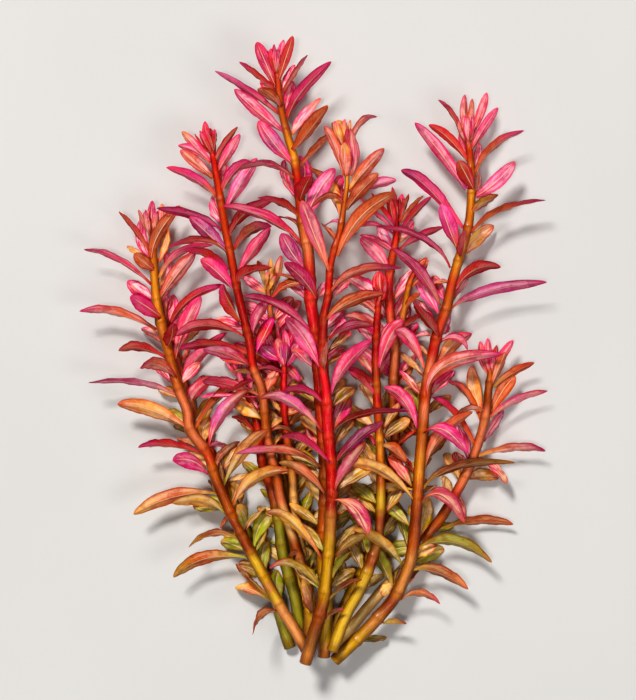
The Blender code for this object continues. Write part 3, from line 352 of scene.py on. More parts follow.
class Leaf:
    """One leaf of a stem: a bowed blade, wide in the middle, narrow at its foot."""

    def __init__(self, stem, foot, mid, tip, width, lie, colours, order, filler=False):
        self.stem, self.colours, self.order, self.filler = stem, colours, order, filler
        self.lie = lie[0]
        self.upper = "u" in lie
        digits = lie.lstrip("fbsu")
        self.lift = float(digits) if digits else 0.0
        flat = [Vector(((x - X0) * UNIT, (Y0 - y) * UNIT, 0)) for x, y in (foot, mid, tip)]
        self.flat = flat
        self.index = stem.nearest(flat[0])
        axis, r = stem.points[self.index], stem.radii[self.index]
        t = stem.tangent(self.index)
        side = t.cross(Vector((0, 0, 1))).normalized()
        off = max(-0.96 * r, min(0.96 * r, (flat[0] - Vector((axis.x, axis.y, 0))).dot(side)))
        rise = math.sqrt(max(0.0, r * r - off * off))
        rise *= {"f": 1.0, "b": -1.0, "s": 0.35}[self.lie]
        out = side * off + side.cross(t).normalized() * rise
        self.root = stem.chord(self.index) + out * 0.3
        self.foot = axis + out * 0.92
        along = stem.lengths[self.index] / UNIT
        full = min(70.0, 19.0 + 0.5 * along)
        # Young leaves near the tip clasp the stem with a broader foot than old ones.
        self.base = 0.36 - 0.23 * min(1.0, max(0.0, (along - 40.0) / 130.0))
        self.true_width = min(LEAF_WIDTH, 4.5 + 0.21 * full)
        length = (flat[1] - flat[0]).length + (flat[2] - flat[1]).length
        missing = math.sqrt(max(0.0, (full * UNIT) ** 2 - length ** 2))
        self.dz = {"f": min(0.62 * missing, 8.0), "b": -min(0.5 * missing, 7.0), "s": min(0.12 * missing, 1.6)}[self.lie]
        self.dz += self.lift
        self.width = width * UNIT
        self.length = length
        ratio = min(1.0, width / max(self.true_width, width))
        self.roll = math.acos(ratio)
        if self.roll > 1.15:
            self.roll = 1.15
        self.blade = self.width / max(0.35, math.cos(self.roll))
        self.blade = min(self.blade, LEAF_WIDTH * UNIT * 1.06) if width < LEAF_WIDTH else self.width

    def shape(self, dz, bow, droll, shrink=1.0):
        """Centre line, side and face directions for one way to lay the leaf."""
        f = self.foot
        scale = shrink
        mid = self.flat[0].lerp(self.flat[1], scale) - self.flat[0]
        tip = (self.flat[1] - self.flat[0]).lerp(self.flat[2] - self.flat[0], scale) if scale < 1 else self.flat[2] - self.flat[0]
        p0 = Vector((self.flat[0].x, self.flat[0].y, f.z))
        p0 = Vector((f.x, f.y, f.z)) if (p0 - f).length > 0.9 else p0.lerp(f, 0.5)
        pm = self.flat[0] + mid + Vector((0, 0, f.z + 0.5 * dz + bow))
        pt = self.flat[0] + tip + Vector((0, 0, f.z + dz))
        ctrl = pm * 2 - (p0 + pt) / 2
        roll = self.roll + droll

        def centre(t):
            p = p0 * (1 - t) ** 2 + ctrl * 2 * t * (1 - t) + pt * t * t
            return p

        def tangent(t):
            d = (ctrl - p0) * 2 * (1 - t) + (pt - ctrl) * 2 * t
            return d.normalized()

        chord = (pt - p0)
        level = Vector((chord.x, chord.y, 0))
        if level.length < 1e-6:
            level = Vector((1, 0, 0))
        e1 = Vector((-level.y, level.x, 0)).normalized()
        e2 = chord.normalized().cross(e1)
        axis = self.stem.tangent(self.index)
        best = None
        for sign in (1, -1):
            s = e1 * math.cos(roll) + e2 * math.sin(roll) * sign
            n = chord.normalized().cross(s)
            if n.dot(axis) < 0:
                n = -n
            face_up = n.z
            want = 1 if (self.upper or self.lie == "b") else -1
            score = face_up * want
            if best is None or score > best[0] + 1e-9:
                best = (score, s, n)
        if self.upper and best[2].z < 0:
            best = (best[0], best[1], -best[2])
        return centre, tangent, best[1], best[2]

    def sections(self, form, ts):
        """Centre, half-width direction and face direction at each t."""
        centre, tangent, s0, n0 = form
        rows = []
        for t in ts:
            c, d = centre(t), tangent(t)
            s = (s0 - d * s0.dot(d)).normalized()
            n = d.cross(s)
            if n.dot(n0) < 0:
                n = -n
            half = 0.5 * self.blade * self.slim * blade_width(t, self.base)
            low = FLOOR + 0.42 * max(0.0, n.z) + abs(s.z) * half + 0.05
            if c.z < low:
                c = Vector((c.x, c.y, low))
            rows.append((c, s * half, n))
        return rows

    slim = 1.0
    spare = False

    def solid(self, form, ts):
        """A three-sided closed blade: two edges and a keel on the under face."""
        rows = self.sections(form, ts)
        root_dir = (rows[0][0] - self.root)
        s0 = rows[0][1].normalized()
        s0 = (s0 - root_dir * (s0.dot(root_dir) / max(1e-9, root_dir.length_squared))).normalized()
        n0 = root_dir.normalized().cross(s0)
        if n0.dot(rows[0][2]) < 0:
            n0 = -n0
        rr = self.stem.radii[self.index]
        half = min(0.42, 0.34 * rr)
        verts = [self.root - s0 * half + n0 * 0.1 * rr, self.root + s0 * half + n0 * 0.1 * rr,
                 self.root - n0 * min(0.42, 0.3 * rr)]
        for c, s, n in rows[:-1]:
            lift = n * (0.16 * s.length)
            verts += [c - s + lift, c + s + lift, c - n * 0.42]
        c, s, n = rows[-1]
        verts.append(c)
        for v in verts[3:]:
            v.z = max(v.z, FLOOR)
        faces = [(0, 1, 2)]
        count = len(rows)
        for i in range(count - 1):
            a, b = 3 * i, 3 * i + 3
            for k in range(3):
                m = (k + 1) % 3
                faces.append((a + k, b + k, b + m, a + m))
        a = 3 * (count - 1)
        tip = len(verts) - 1
        for k in range(3):
            faces.append((a + k, tip, a + (k + 1) % 3))
        return verts, faces

    def body(self, form):
        long = self.length > 60 * UNIT
        return self.solid(form, (0.34, 0.7, 1.0) if long else (0.5, 1.0))

    def probe(self, form):
        """A slightly thicker stand-in for the real curved blade, for finding collisions."""
        rows = self.sections(form, (0.08, 0.28, 0.5, 0.72, 0.9, 1.0))
        verts, faces = [], []
        for c, s, n in rows:
            verts += [c - s * 1.04 + n * 0.25, c + n * 0.22, c + s * 1.04 + n * 0.25, c - n * 0.62]
        for i in range(len(rows) - 1):
            a, b = 4 * i, 4 * i + 4
            for k in range(4):
                m = (k + 1) % 4
                faces.append((a + k, b + k, b + m, a + m))
        return verts, faces

    def clear_of_stem(self, form, start):
        ts = [t for t in (0.3, 0.45, 0.6, 0.75, 0.9, 1.0) if t >= start]
        for (c, s, n), t in zip(self.sections(form, ts), ts):
            need = GAP * (0.6 if t < 0.4 else 1.0)
            for q in (c, c + s * 0.9, c - s * 0.9, c - n * 0.4):
                if self.stem.distance(q) < need:
                    return False
        return True


def ways():
    """Ways to lay a leaf, the least changed first."""
    found = []
    for dz in (0, 1, -1, 2, -2, 3, -3, 4.5, -4.5, 6, -6, 8, -8):
        for bow in (0, 0.8, -0.8, 1.8, -1.8, 3.2, -3.2):
            for roll in (0, 14, -14, 30, -30, 48):
                found.append((abs(dz) + 1.4 * abs(bow) + abs(roll) / 10.0, dz, bow, math.radians(roll)))
    found.sort(key=lambda w: w[0])
    return [w[1:] for w in found]


def bounds(verts):
    xs, ys, zs = [v.x for v in verts], [v.y for v in verts], [v.z for v in verts]
    return min(xs), max(xs), min(ys), max(ys), min(zs), max(zs)


class Space:
    """Everything laid so far, for finding overlaps."""

    def __init__(self):
        self.items = []

    def add(self, verts, faces, owner=None):
        self.items.append((bounds(verts), BVHTree.FromPolygons(verts, faces), owner))

    def hits(self, verts, faces, skip=None, kin=None):
        """True if the shape cuts anything laid so far, but for the stem skip and the leaves of kin."""
        box = bounds(verts)
        tree = None
        for other, bvh, owner in self.items:
            if owner is not None and (owner is skip or (kin is not None and getattr(owner, "stem", None) is kin)):
                continue
            if (other[0] > box[1] or other[1] < box[0] or other[2] > box[3] or other[3] < box[2]
                    or other[4] > box[5] or other[5] < box[4]):
                continue
            if tree is None:
                tree = BVHTree.FromPolygons(verts, faces)
            if bvh.overlap(tree):
                return True
        return False


def fat_tube(stem, rings, sides, extra):
    keep = stem.radii
    stem.radii = [r + extra for r in keep]
    result = stem.tube(rings, sides)
    stem.radii = keep
    return result


def make_layout(more=()):
    """Lay every leaf so that no two leaves or stems touch. Returns stems and placed leaves.

    The rules in more lay further small leaves in the room that is left."""
    stems = {spec["key"]: Stem(name, spec) for name, spec in STEMS.items()}
    space = Space()
    for stem in stems.values():
        rings = list(range(0, len(stem.points), 3))
        if rings[-1] != len(stem.points) - 1:
            rings.append(len(stem.points) - 1)
        verts, faces = fat_tube(stem, rings, 8, 0.3)
        space.add(verts, faces, stem)
    leaves, order = [], 0
    for key, text in LEAVES.items():
        for row in text.replace("\n", "|").split("|"):
            cell = row.split()
            if len(cell) != 9:
                continue
            x = [float(v) for v in cell[:7]]
            leaves.append(Leaf(stems[key], x[0:2], x[2:4], x[4:6], x[6], cell[7], cell[8], order))
            order += 1
    leaves.sort(key=lambda leaf: (-(leaf.foot.z + leaf.dz), leaf.order))
    for rule, (key, y_first, y_last, step, reach) in enumerate(FILL + tuple(more)):
        stem = stems[key]
        y, k = y_first, 0
        while y < y_last:
            wave = math.sin(order * 12.9898) * 43758.5453
            dice = wave - math.floor(wave)
            i = min(range(len(stem.points)), key=lambda j: abs(Y0 - stem.points[j].y / UNIT - y))
            p, t = stem.points[i], stem.tangent(i)
            x, r = p.x / UNIT + X0, stem.radii[i] / UNIT
            for side in (-1, 1):
                spread = math.radians(22 + 34 * dice) * side
                d = Vector((t.x * math.cos(spread) + t.y * math.sin(spread), t.y * math.cos(spread) - t.x * math.sin(spread), 0)).normalized()
                reach_here = reach * (0.8 + 0.4 * dice)
                foot = (x + side * r * 0.8, y)
                mid = (foot[0] + d.x * reach_here * 0.5, foot[1] - d.y * reach_here * 0.5 - 1.5)
                tip = (foot[0] + d.x * reach_here, foot[1] - d.y * reach_here + 2.5 * dice)
                colours = ("MPS", "SPO", "RSP", "OPM")[k % 4] if y < 400 else ("GKG", "OGS", "GVG", "BGK")[k % 4] if y < 520 else ("GVG", "VGB", "GGK")[k % 3]
                leaves.append(Leaf(stem, foot, mid, tip, 9 + 5 * dice, "b", colours, order, True))
                leaves[-1].spare = rule >= len(FILL)
                order += 1
                k += 1
                dice = (dice * 7.31) % 1.0
            y += step
    placed, dropped = [], []
    probes = Space()
    options = ways()
    for leaf in leaves:
        done = None
        # The last three tries let a leaf grow together with its neighbours on the same stem.
        tries = (((1.0, 1.0, False), (1.0, 1.0, True), (0.85, 0.8, True), (0.7, 0.7, True))
                 if not leaf.filler else ((1.0, 1.0, False), (0.8, 0.8, False)))
        for shrink, slim, grown in tries:
            leaf.slim = slim
            kin = leaf.stem if grown else None
            for n, (dz, bow, roll) in enumerate(options):
                if n > (90 if leaf.filler else 300):
                    break
                form = leaf.shape(leaf.dz + dz, bow, roll, shrink)
                if not leaf.clear_of_stem(form, 0.55 if grown else 0.3):
                    continue
                body = leaf.body(form)
                if space.hits(*body, skip=leaf.stem, kin=kin) or probes.hits(*body, kin=leaf.stem):
                    continue
                probe = leaf.probe(form)
                if space.hits(*probe, skip=leaf.stem, kin=leaf.stem) or probes.hits(*probe, kin=leaf.stem):
                    continue
                done = (form, body, probe)
                break
            if done:
                break
        if not done:
            dropped.append(leaf)
            continue
        leaf.form, leaf.solid_now = done[0], done[1]
        space.add(*done[1], owner=leaf)
        probes.add(*done[2], owner=leaf)
        placed.append(leaf)
    lows = [v for leaf in placed if not leaf.spare for v in leaf.solid_now[0]]
    for stem in stems.values():
        lows += stem.tube(stem.rings, SIDES)[0]
    box = bounds(lows)
    shift = Vector((-(box[0] + box[1]) / 2, -(box[2] + box[3]) / 2, -box[4]))
    return stems, placed, dropped, shift


def strays(stem, i, j):
    """Farthest that the axis between points i and j lies from the straight line between them."""
    a, b = stem.points[i], stem.points[j]
    span = stem.lengths[j] - stem.lengths[i]
    return max([0.0] + [(stem.points[k] - a.lerp(b, (stem.lengths[k] - stem.lengths[i]) / span)).length
                        for k in range(i + 1, j)])


def cad_rings(stem):
    """Ring positions along a stem: as few as keep the tube within 0.3 mm of its axis."""
    rings, last = [0], len(stem.points) - 1
    while rings[-1] < last:
        i = rings[-1]
        j = i + 1
        while j < last and stem.lengths[j + 1] - stem.lengths[i] < 26.0 and strays(stem, i, j + 1) < 0.3:
            j += 1
        rings.append(j)
    return rings
# ---- LAYOUT END ----


# Colours by letter, as sRGB.
PALETTE = {
    "M": (208, 2, 118), "P": (242, 50, 118), "R": (190, 12, 10), "O": (196, 84, 0), "S": (222, 110, 64),
    "K": (244, 184, 72), "G": (168, 138, 0), "V": (154, 166, 2), "B": (146, 66, 0), "U": (166, 14, 124),
    "W": (250, 108, 174), "N": (180, 56, 104),
    "Y": (202, 136, 24), "J": (172, 86, 10), "H": (208, 16, 34), "X": (156, 12, 6), "I": (202, 116, 72),
    "L": (184, 148, 14), "C": (236, 206, 130), "Z": (130, 82, 20), "T": (186, 128, 58), "E": (140, 62, 4),
    "F": (198, 170, 34), "Q": (136, 138, 36), "t": (208, 150, 88), "o": (184, 58, 4), "r": (186, 20, 6),
}
# Colours of the stems, from the tip down: y and letter.
STEM_COLOURS = {
    "A": "60 r|80 o|110 J|128 J|146 Y|160 Y|172 o|182 r|204 o|222 J|246 I|276 r|292 H|306 H|345 X|392 X|430 o|462 E|500 E|530 J|578 L|604 F|635 F|652 T",
    "C": "130 K|145 o|160 Y|182 Y|205 J|250 o|275 r|338 X|368 H|430 H|480 r|500 X|522 T|545 L|585 L|612 E|640 Z|657 T",
    "B": "140 H|165 r|200 o|240 o|295 X|330 X|362 r|375 I|425 J|450 I|478 J|498 I|520 C|548 E|590 C|606 L|638 Z",
    "L": "225 I|245 J|280 Y|380 J|402 I|440 I|455 o|470 J|490 E|510 J|530 E|548 E|562 F|578 L|588 T|596 F|610 t|632 t|645 T",
    "L2": "304 I|330 X|400 I|460 o|520 Q|580 E|606 Q|645 Q",
    "M": "366 r|400 r|470 X|500 E|522 Q|560 Q|600 Q|634 Q",
    "N": "278 E|300 I|360 X|440 E|520 G|638 L",
    "P": "354 r|375 H|420 r|470 T|520 C|590 C|638 E",
    "R": "130 I|152 o|170 J|190 Y|235 J|262 Y|285 o|300 J|325 o|350 r|368 I|398 o|408 I|430 J|470 Y|492 J|520 E|545 J|560 T|588 T|605 E|622 T|640 L|655 L",
    "RR": "360 o|370 J|402 E|415 I|440 I|480 I|500 r|515 J|540 E|556 C|592 C|615 C|640 C",
    "D": "296 r|320 r|350 X|372 o|386 J|400 r|428 J|440 Y|480 J|500 F|520 E|545 T|562 E|577 F|600 F|645 F",
    "E": "212 r|235 r|262 o|290 H|340 I|420 E|450 J|520 E|580 L|638 L",
    "F": "262 o|275 o|300 Y|325 I",
}


def linear(rgb):
    """Linear colour of an sRGB one given from 0 to 255."""
    return np.array([((v / 255.0 + 0.055) / 1.055) ** 2.4 if v > 10.3 else v / 255.0 / 12.92 for v in rgb])


LINEAR = {k: linear(v) * (1.10, 0.92, 0.86) for k, v in PALETTE.items()}
# Colours of the painted sheen: pale highlight patches painted on the leaves, pink on the upper ones and tan on the
# lower.
PINK_SHEEN, TAN_SHEEN = linear((255, 206, 214)), linear((246, 210, 166))
# How much painted sheen, a pale highlight patch, the middle of a leaf may carry, by the letter of its middle.
SHEEN_SHARE = {"M": (0.10, 0.56), "P": (0.60, 1.00), "R": (0.02, 0.30), "O": (0.15, 0.62), "S": (0.50, 1.00), "K": (0.70, 1.00),
        "G": (0.50, 1.00), "V": (0.25, 0.80), "B": (0.08, 0.50), "U": (0.15, 0.60), "W": (0.80, 1.00), "N": (0.35, 0.70)}


def dice(k, salt=0.0):
    wave = math.sin(k * 12.9898 + salt * 78.233 + 1.7) * 43758.5453
    return wave - math.floor(wave)


def smooth(a, b, x):
    x = min(1.0, max(0.0, (x - a) / (b - a)))
    return x * x * (3 - 2 * x)


def mix(a, b, t):
    return a + (b - a) * t


def ramp(rows, y):
    """Colour at y of rows of (y, letter)."""
    if y <= rows[0][0]:
        return LINEAR[rows[0][1]]
    for (ya, a), (yb, b) in zip(rows, rows[1:]):
        if y <= yb:
            return mix(LINEAR[a], LINEAR[b], smooth(0, 1, (y - ya) / (yb - ya)))
    return LINEAR[rows[-1][1]]


ROWS, COLS = 20, 9      # points along and across a leaf
US = [-1.0, -0.8, -0.5, -0.12, 0.0, 0.12, 0.5, 0.8, 1.0]


class Body:
    """Vertices, faces, colours and both UV maps of one leafy stem."""

    def __init__(self):
        self.verts, self.tints, self.sheens, self.seeds, self.rim = [], [], [], [], []
        self.faces, self.kind, self.leaf_uv, self.bake_uv = [], [], [], []

    def point(self, p, tint, rim=False, sheen=None, seed=0.0):
        self.verts.append((p.x, p.y, p.z))
        self.tints.append(tint)
        self.sheens.append(tint if sheen is None else sheen)
        self.seeds.append(seed)
        self.rim.append(rim)
        return len(self.verts) - 1

    def face(self, loop, kind, leaf_uv, bake_uv):
        self.faces.append(loop)
        self.kind.append(kind)
        self.leaf_uv += leaf_uv
        self.bake_uv += bake_uv


def add_leaf(body, sections, colours, cell, number, level, fold_more=0.0):
    """A folded, veined blade with thickness. sections gives its centre, half width and face at each t."""
    ts = [1.0 - (1.0 - i / (ROWS - 1)) ** 1.3 for i in range(ROWS)]
    rows = sections(ts)
    r1, r2, r3, r4, r5, r6 = (dice(number, s) for s in (1, 2, 3, 4, 5, 6))
    fold = 0.20 + 0.26 * r1 + fold_more
    curl = 0.05 + 0.22 * r2
    phase_a, phase_b = r3 * 6.28, r4 * 6.28
    beats = 2.2 + 2.0 * r5
    twist = (r6 - 0.5) * 0.5
    foot, mid, tip = (LINEAR[c] for c in colours)
    shade = 0.86 + 0.3 * dice(number, 7)
    warm = (dice(number, 8) - 0.5) * 0.16
    cool = 1.0 + 0.5 * (dice(number, 13) - 0.45)
    tone = np.array([shade * (1 + warm * 0.3), shade * (1 + warm), shade * (1 - warm) * cool])
    if colours[1] not in "MUNW":
        tone = tone * mix(np.ones(3), np.array([0.95, 1.10, 0.88]), smooth(430, 520, level))
    halves = (dice(number, 9) - 0.5) * 0.34
    # Shares of painted sheen, a pale highlight, for each half of the blade; lower leaves carry a little more.
    least, most = SHEEN_SHARE.get(colours[1], (0.1, 0.5))
    more_sheen = 0.06 * smooth(430, 520, level)
    gleam = [min(1.0, mix(least, most, dice(number, 11)) + more_sheen), min(1.0, mix(least, most, dice(number, 12)) + more_sheen)]
    tone = tone * mix(np.ones(3), np.array([0.97, 1.05, 0.92]), smooth(440, 560, level))
    if colours[1] not in "MUNW":
        tone = tone * mix(np.ones(3), np.array([0.96, 1.09, 0.93]), smooth(530, 600, level))
    # The painted sheen is pink on upper and magenta leaves and tan on lower ones.
    pink = smooth(460, 330, level) * (1.0 if colours[1] in "MPURWS" else 0.3)
    if "M" in colours or "U" in colours:
        pink = max(pink, 0.9)
    sheen_tone = mix(TAN_SHEEN, PINK_SHEEN, pink)
    seed = number * 0.37
    blade_length = sum((rows[i + 1][0] - rows[i][0]).length for i in range(ROWS - 1))
    droop = (dice(number, 10) - 0.35) * 0.05 * blade_length
    top, low = [], []
    for i, (t, (c, s, n)) in enumerate(zip(ts, rows)):
        half = s.length
        side = s.normalized() if half > 1e-9 else Vector((1, 0, 0))
        d = n.cross(side)
        c = c - Vector((n.x, n.y, 0.0)) * (0.55 * fold * half)
        turn = twist * t
        side, n = side * math.cos(turn) + n * math.sin(turn), n * math.cos(turn) - side * math.sin(turn)
        c = c - n * (droop * smooth(0.6, 1.0, t) ** 2)
        colour = mix(foot, mid, smooth(0.0, 0.5, t)) if t < 0.5 else mix(mid, tip, smooth(0.5, 1.0, t))
        thick = 0.10 + 0.16 * (1 - t)
        up, down = [], []
        for u in US:
            a = abs(u)
            wave = 0.07 * half * a * a * (math.sin(beats * 6.28 * t + (phase_a if u > 0 else phase_b))
                                          + 0.5 * math.sin(2.3 * beats * 6.28 * t + phase_b * u))
            lift = half * (fold * a ** 1.15 - curl * a ** 4) + wave
            groove = 0.10 * (1 - t) * half * max(0.0, 1 - a / 0.2)
            reach = 1.0 + (0.02 * math.sin(t * 46 + phase_a * (1 if u > 0 else 2)) if a == 1 else 0.0)
            p = c + side * (half * u * reach) + n * (lift - groove)
            tint = colour * tone * (1 + halves * (1 if u > 0 else -1) * min(1.0, a * 4))
            tint = mix(tint, LINEAR["M"] if pink > 0.4 else LINEAR["B"], 0.30 * smooth(0.7, 1.0, a))
            tint = mix(tint, LINEAR["M"] if pink > 0.4 else LINEAR["S"] * 0.9, 0.40 * smooth(0.84, 1.0, t))
            tint = np.clip(tint, 0.0, 1.0)
            # Painted highlight: the sheen colour is the tint mixed towards the pale sheen tone.
            sheen = np.clip(mix(tint, sheen_tone * (0.9 + 0.1 * shade), gleam[0 if u > 0 else 1]), 0.0, 1.0)
            if p.z < 0.05:
                p.z = 0.05
            if i == ROWS - 1:
                if u == US[0]:
                    k = body.point(c + n * lift * 0, tint, True, sheen, seed)
                up.append(k)
                down.append(k)
                continue
            rim = a == 1
            k = body.point(p, tint, rim, sheen, seed)
            up.append(k)
            if rim:
                down.append(k)
            else:
                q = p - n * (thick * (1 - 0.75 * a * a) + 0.16 * (1 - t) * max(0.0, 1 - a / 0.25) + 0.0)
                if q.z < 0.02:
                    q.z = 0.02
                # The under face is a salmon-red mix of the tint and carries part of the painted sheen.
                under = np.clip(mix(tint, np.array([0.70, 0.16, 0.10]) * shade, 0.15), 0, 1)
                down.append(body.point(q, under, False, mix(under, sheen, 0.6), seed + 7.0))
        top.append(up)
        low.append(down)
    x0, y0, w, h = cell
    for layer, grid in enumerate((top, low)):
        for i in range(ROWS - 1):
            for j in range(COLS - 1):
                loop = [grid[i][j], grid[i][j + 1], grid[i + 1][j + 1], grid[i + 1][j]]
                uv = [(US[j], ts[i]), (US[j + 1], ts[i]), (US[j + 1], ts[i + 1]), (US[j], ts[i + 1])]
                if i == ROWS - 2:
                    loop, uv = loop[:3], uv[:3]
                if layer:
                    loop, uv = loop[::-1], uv[::-1]
                plain = [(0.5 + 0.5 * a, b) for a, b in uv]
                bake = [(x0 + w * (0.02 + 0.48 * layer + 0.46 * a), y0 + h * (0.02 + 0.96 * b)) for a, b in plain]
                body.face(loop, layer, plain, bake)
    ring = top[0] + low[0][-2:0:-1]
    body.face(ring[::-1], 1, [(0.5, 0.0)] * len(ring), [(x0 + w * 0.02, y0 + h * 0.01)] * len(ring))


CUT_LONGER = 1.6  # millimetres that the torn end stands past the drawn axis


def add_stem(body, stem, feet, cell):
    """A round stem with a slight swelling and ring at every pair of leaves and a cut end."""
    sides = 14
    rows = [(float(a.split()[0]), a.split()[1]) for a in STEM_COLOURS[stem.key].split("|")]
    total = stem.lengths[-1]
    nodes = []
    for s in sorted(feet):
        if not nodes or s - nodes[-1] > 4.5:
            nodes.append(s)
        else:
            nodes[-1] = 0.5 * (nodes[-1] + s)
    marks = [0.45 * k for k in range(int(total / 0.45) + 1)]
    if marks[-1] < total - 0.1:
        marks.append(total)
    lengths = np.array(stem.lengths)
    grid = []
    phase = dice(len(stem.points), 3) * 6.28
    for m, s in enumerate(marks):
        i = int(np.clip(np.searchsorted(lengths, s) - 1, 0, len(lengths) - 2))
        f = (s - stem.lengths[i]) / max(1e-9, stem.lengths[i + 1] - stem.lengths[i])
        p = stem.points[i].lerp(stem.points[i + 1], f)
        r = mix(stem.radii[i], stem.radii[i + 1], f)
        t = stem.tangent(i).lerp(stem.tangent(i + 1), f).normalized()
        side = t.cross(Vector((0, 0, 1))).normalized()
        up = side.cross(t).normalized()
        if m == len(marks) - 1:
            p = p - t * CUT_LONGER
        near = min([abs(s - q) for q in nodes] + [99.0])
        swell = 0.965 + 0.13 * math.exp(-(near / 0.8) ** 2)
        swell *= 1 + 0.012 * math.sin(s * 0.9 + phase)
        colour = ramp(rows, Y0 - p.y / UNIT)
        ringed = math.exp(-(near / 0.34) ** 2)
        pale = math.exp(-((near - 1.0) / 0.6) ** 2)
        edge = total - s
        row = []
        for k in range(sides):
            a = 2 * math.pi * k / sides
            rr = r * swell * (1 + 0.025 * math.sin(3 * a + s * 0.35 + phase))
            if edge < 0.3:
                rr *= 0.95
            q = p + (side * math.cos(a) + up * math.sin(a)) * rr
            q.z = max(q.z, 0.0)
            # Painted shade and highlight: the stem's sides are darkened to brown and the faces turned up and down are
            # brightened by 1.14, as light falling on a round stem.
            shaded_flank = abs(math.cos(a))
            tint = colour * (1.0 + 0.10 * math.sin(a * 3 + s * 0.25 + phase)) * mix(np.ones(3) * 1.14, np.array([0.42, 0.30, 0.18]), smooth(0.22, 0.96, shaded_flank))
            tint = mix(tint, LINEAR["K"], 0.12 * pale * (1 - shaded_flank))
            tint = mix(tint, LINEAR["B"] * 0.55, 0.42 * ringed)
            tint = mix(tint, LINEAR["B"] * 0.6, 0.45 * smooth(1.6, 0.0, edge))
            row.append(body.point(q, np.clip(tint, 0, 1)))
        grid.append(row)
    x0, y0, w, h = cell
    n = len(grid)
    for i in range(n - 1):
        for k in range(sides):
            m = (k + 1) % sides
            loop = [grid[i][k], grid[i][m], grid[i + 1][m], grid[i + 1][k]]
            uv = [(k / sides, i), ((k + 1) / sides, i), ((k + 1) / sides, i + 1), (k / sides, i + 1)]
            plain = [(a, marks[b] * 0.1) for a, b in uv]
            bake = [(x0 + w * (0.02 + 0.96 * a), y0 + h * (0.03 + 0.94 * b / (n - 1))) for a, b in uv]
            body.face(loop, 2, plain, bake)
    # The tip closes in a low dome and the cut end is a shallow dish.
    for end, row, s_end in ((0, grid[0], 0), (1, grid[-1], len(stem.points) - 1)):
        centre, t = stem.points[s_end], stem.tangent(s_end)
        if end:
            centre = centre - t * CUT_LONGER
        loop_before = row
        r = stem.radii[s_end]
        for step, (shrink, out) in enumerate(((0.78, 0.10), (0.4, 0.05 if end else 0.3)) if end else ((0.8, 0.25), (0.4, 0.45))):
            new = []
            for k in range(sides):
                q = Vector(body.verts[row[k]])
                q = centre + (q - centre) * shrink + t * (out * r * (-1 if end else 1))
                q.z = max(q.z, 0.0)
                tint = LINEAR["Z"] * (0.55, 1.3)[step] if end else body.tints[row[k]]
                new.append(body.point(q, np.clip(np.array(tint), 0, 1)))
            for k in range(sides):
                m = (k + 1) % sides
                loop = [loop_before[k], loop_before[m], new[m], new[k]]
                spot = [(x0 + w * (0.02 + 0.96 * k / sides), y0 + h * (0.99 if end else 0.01))] * 4
                body.face(loop, 2, [(k / sides, 0.0)] * 4, spot)
            loop_before = new
        tint = LINEAR["T"] * 0.8 if end else body.tints[row[0]]
        hub = body.point(centre - t * (0.02 * r if end else -0.5 * r), np.clip(np.array(tint), 0, 1))
        for k in range(sides):
            m = (k + 1) % sides
            body.face([loop_before[k], loop_before[m], hub], 2, [(k / sides, 0.0)] * 3,
                      [(x0 + w * 0.5, y0 + h * (0.99 if end else 0.01))] * 3)


def bud_sections(p0, p1, p2, width, inward):
    """Sections of a small bud leaf along three points."""
    def sections(ts):
        rows = []
        for t in ts:
            c = p0 * (1 - t) ** 2 + p1 * 2 * t * (1 - t) + p2 * t * t
            d = ((p1 - p0) * 2 * (1 - t) + (p2 - p1) * 2 * t).normalized()
            n = (inward - d * inward.dot(d)).normalized()
            rows.append((c, n.cross(d).normalized() * (0.5 * width * blade_width(t)), n))
        return rows
    return sections


# Bud at the tip of each stem: leaves, length and width in drawing units, colours.
BUDS = {
    "A": (13, 24, 8.5, ("RRM", "RRR", "RPM")), "C": (12, 25, 9.5, ("OKK", "KKS", "SKP")),
    "B": (13, 26, 7.5, ("RRR", "HRR", "RRP")), "L": (13, 27, 9.5, ("SKP", "SPP", "OSM")),
    "L2": (8, 17, 6.0, ("RSP", "OSM")), "R": (13, 27, 9.0, ("RSP", "SPS", "RPM")),
    "RR": (10, 21, 7.5, ("RPM", "SPS")), "D": (8, 18, 7.0, ("RRR", "RRM")),
    "E": (12, 26, 8.0, ("RRR", "HRM", "HRR")), "F": (5, 12, 4.0, ("OOR",)),
    "M": (8, 18, 6.5, ("MPM", "RMP")), "N": (9, 16, 7.0, ("GKP", "GGK")), "P": (10, 22, 9.0, ("MUM", "MMP")),
}


def bud(stem):
    """Sections, colours and number of the small upright leaves round the tip of a stem."""
    count, length, width, colours = BUDS[stem.key]
    tip, t = stem.points[0], stem.tangent(0)
    side = t.cross(Vector((0, 0, 1))).normalized()
    up = side.cross(t).normalized()
    found = []
    for k in range(count):
        share = k / count
        a = 2.39996 * k + dice(k, len(stem.points))
        out = side * math.cos(a) + up * math.sin(a)
        far = (0.55 + 0.45 * share + 0.16 * dice(k, 5)) * length * UNIT
        back = (1.0 + 9.0 * share) * UNIT
        spread = 0.08 + 0.34 * share * share + 0.06 * dice(k, 6)
        p0 = tip - t * back + out * (0.35 + 0.5 * share) * stem.radii[2]
        p1 = p0 + t * (0.5 * far) + out * (far * (0.14 + 0.5 * spread))
        p2 = p0 + t * far + out * (far * spread)
        found.append((bud_sections(p0, p1, p2, width * UNIT * (0.62 + 0.38 * share), -out), colours[k % len(colours)], 900 + k + 31 * len(stem.points)))
    return found


def cells(count):
    """Map cells (x, y, width, height) for a stem and count leaves."""
    across = max(1, math.ceil(math.sqrt(count * 2.2 * 0.9)))
    down = max(1, math.ceil(count / across))
    found = [(0.0, 0.0, 0.09, 1.0)]
    for k in range(count):
        i, j = k % across, k // across
        found.append((0.1 + 0.9 * i / across, j / down, 0.9 / across, 1.0 / down))
    return found


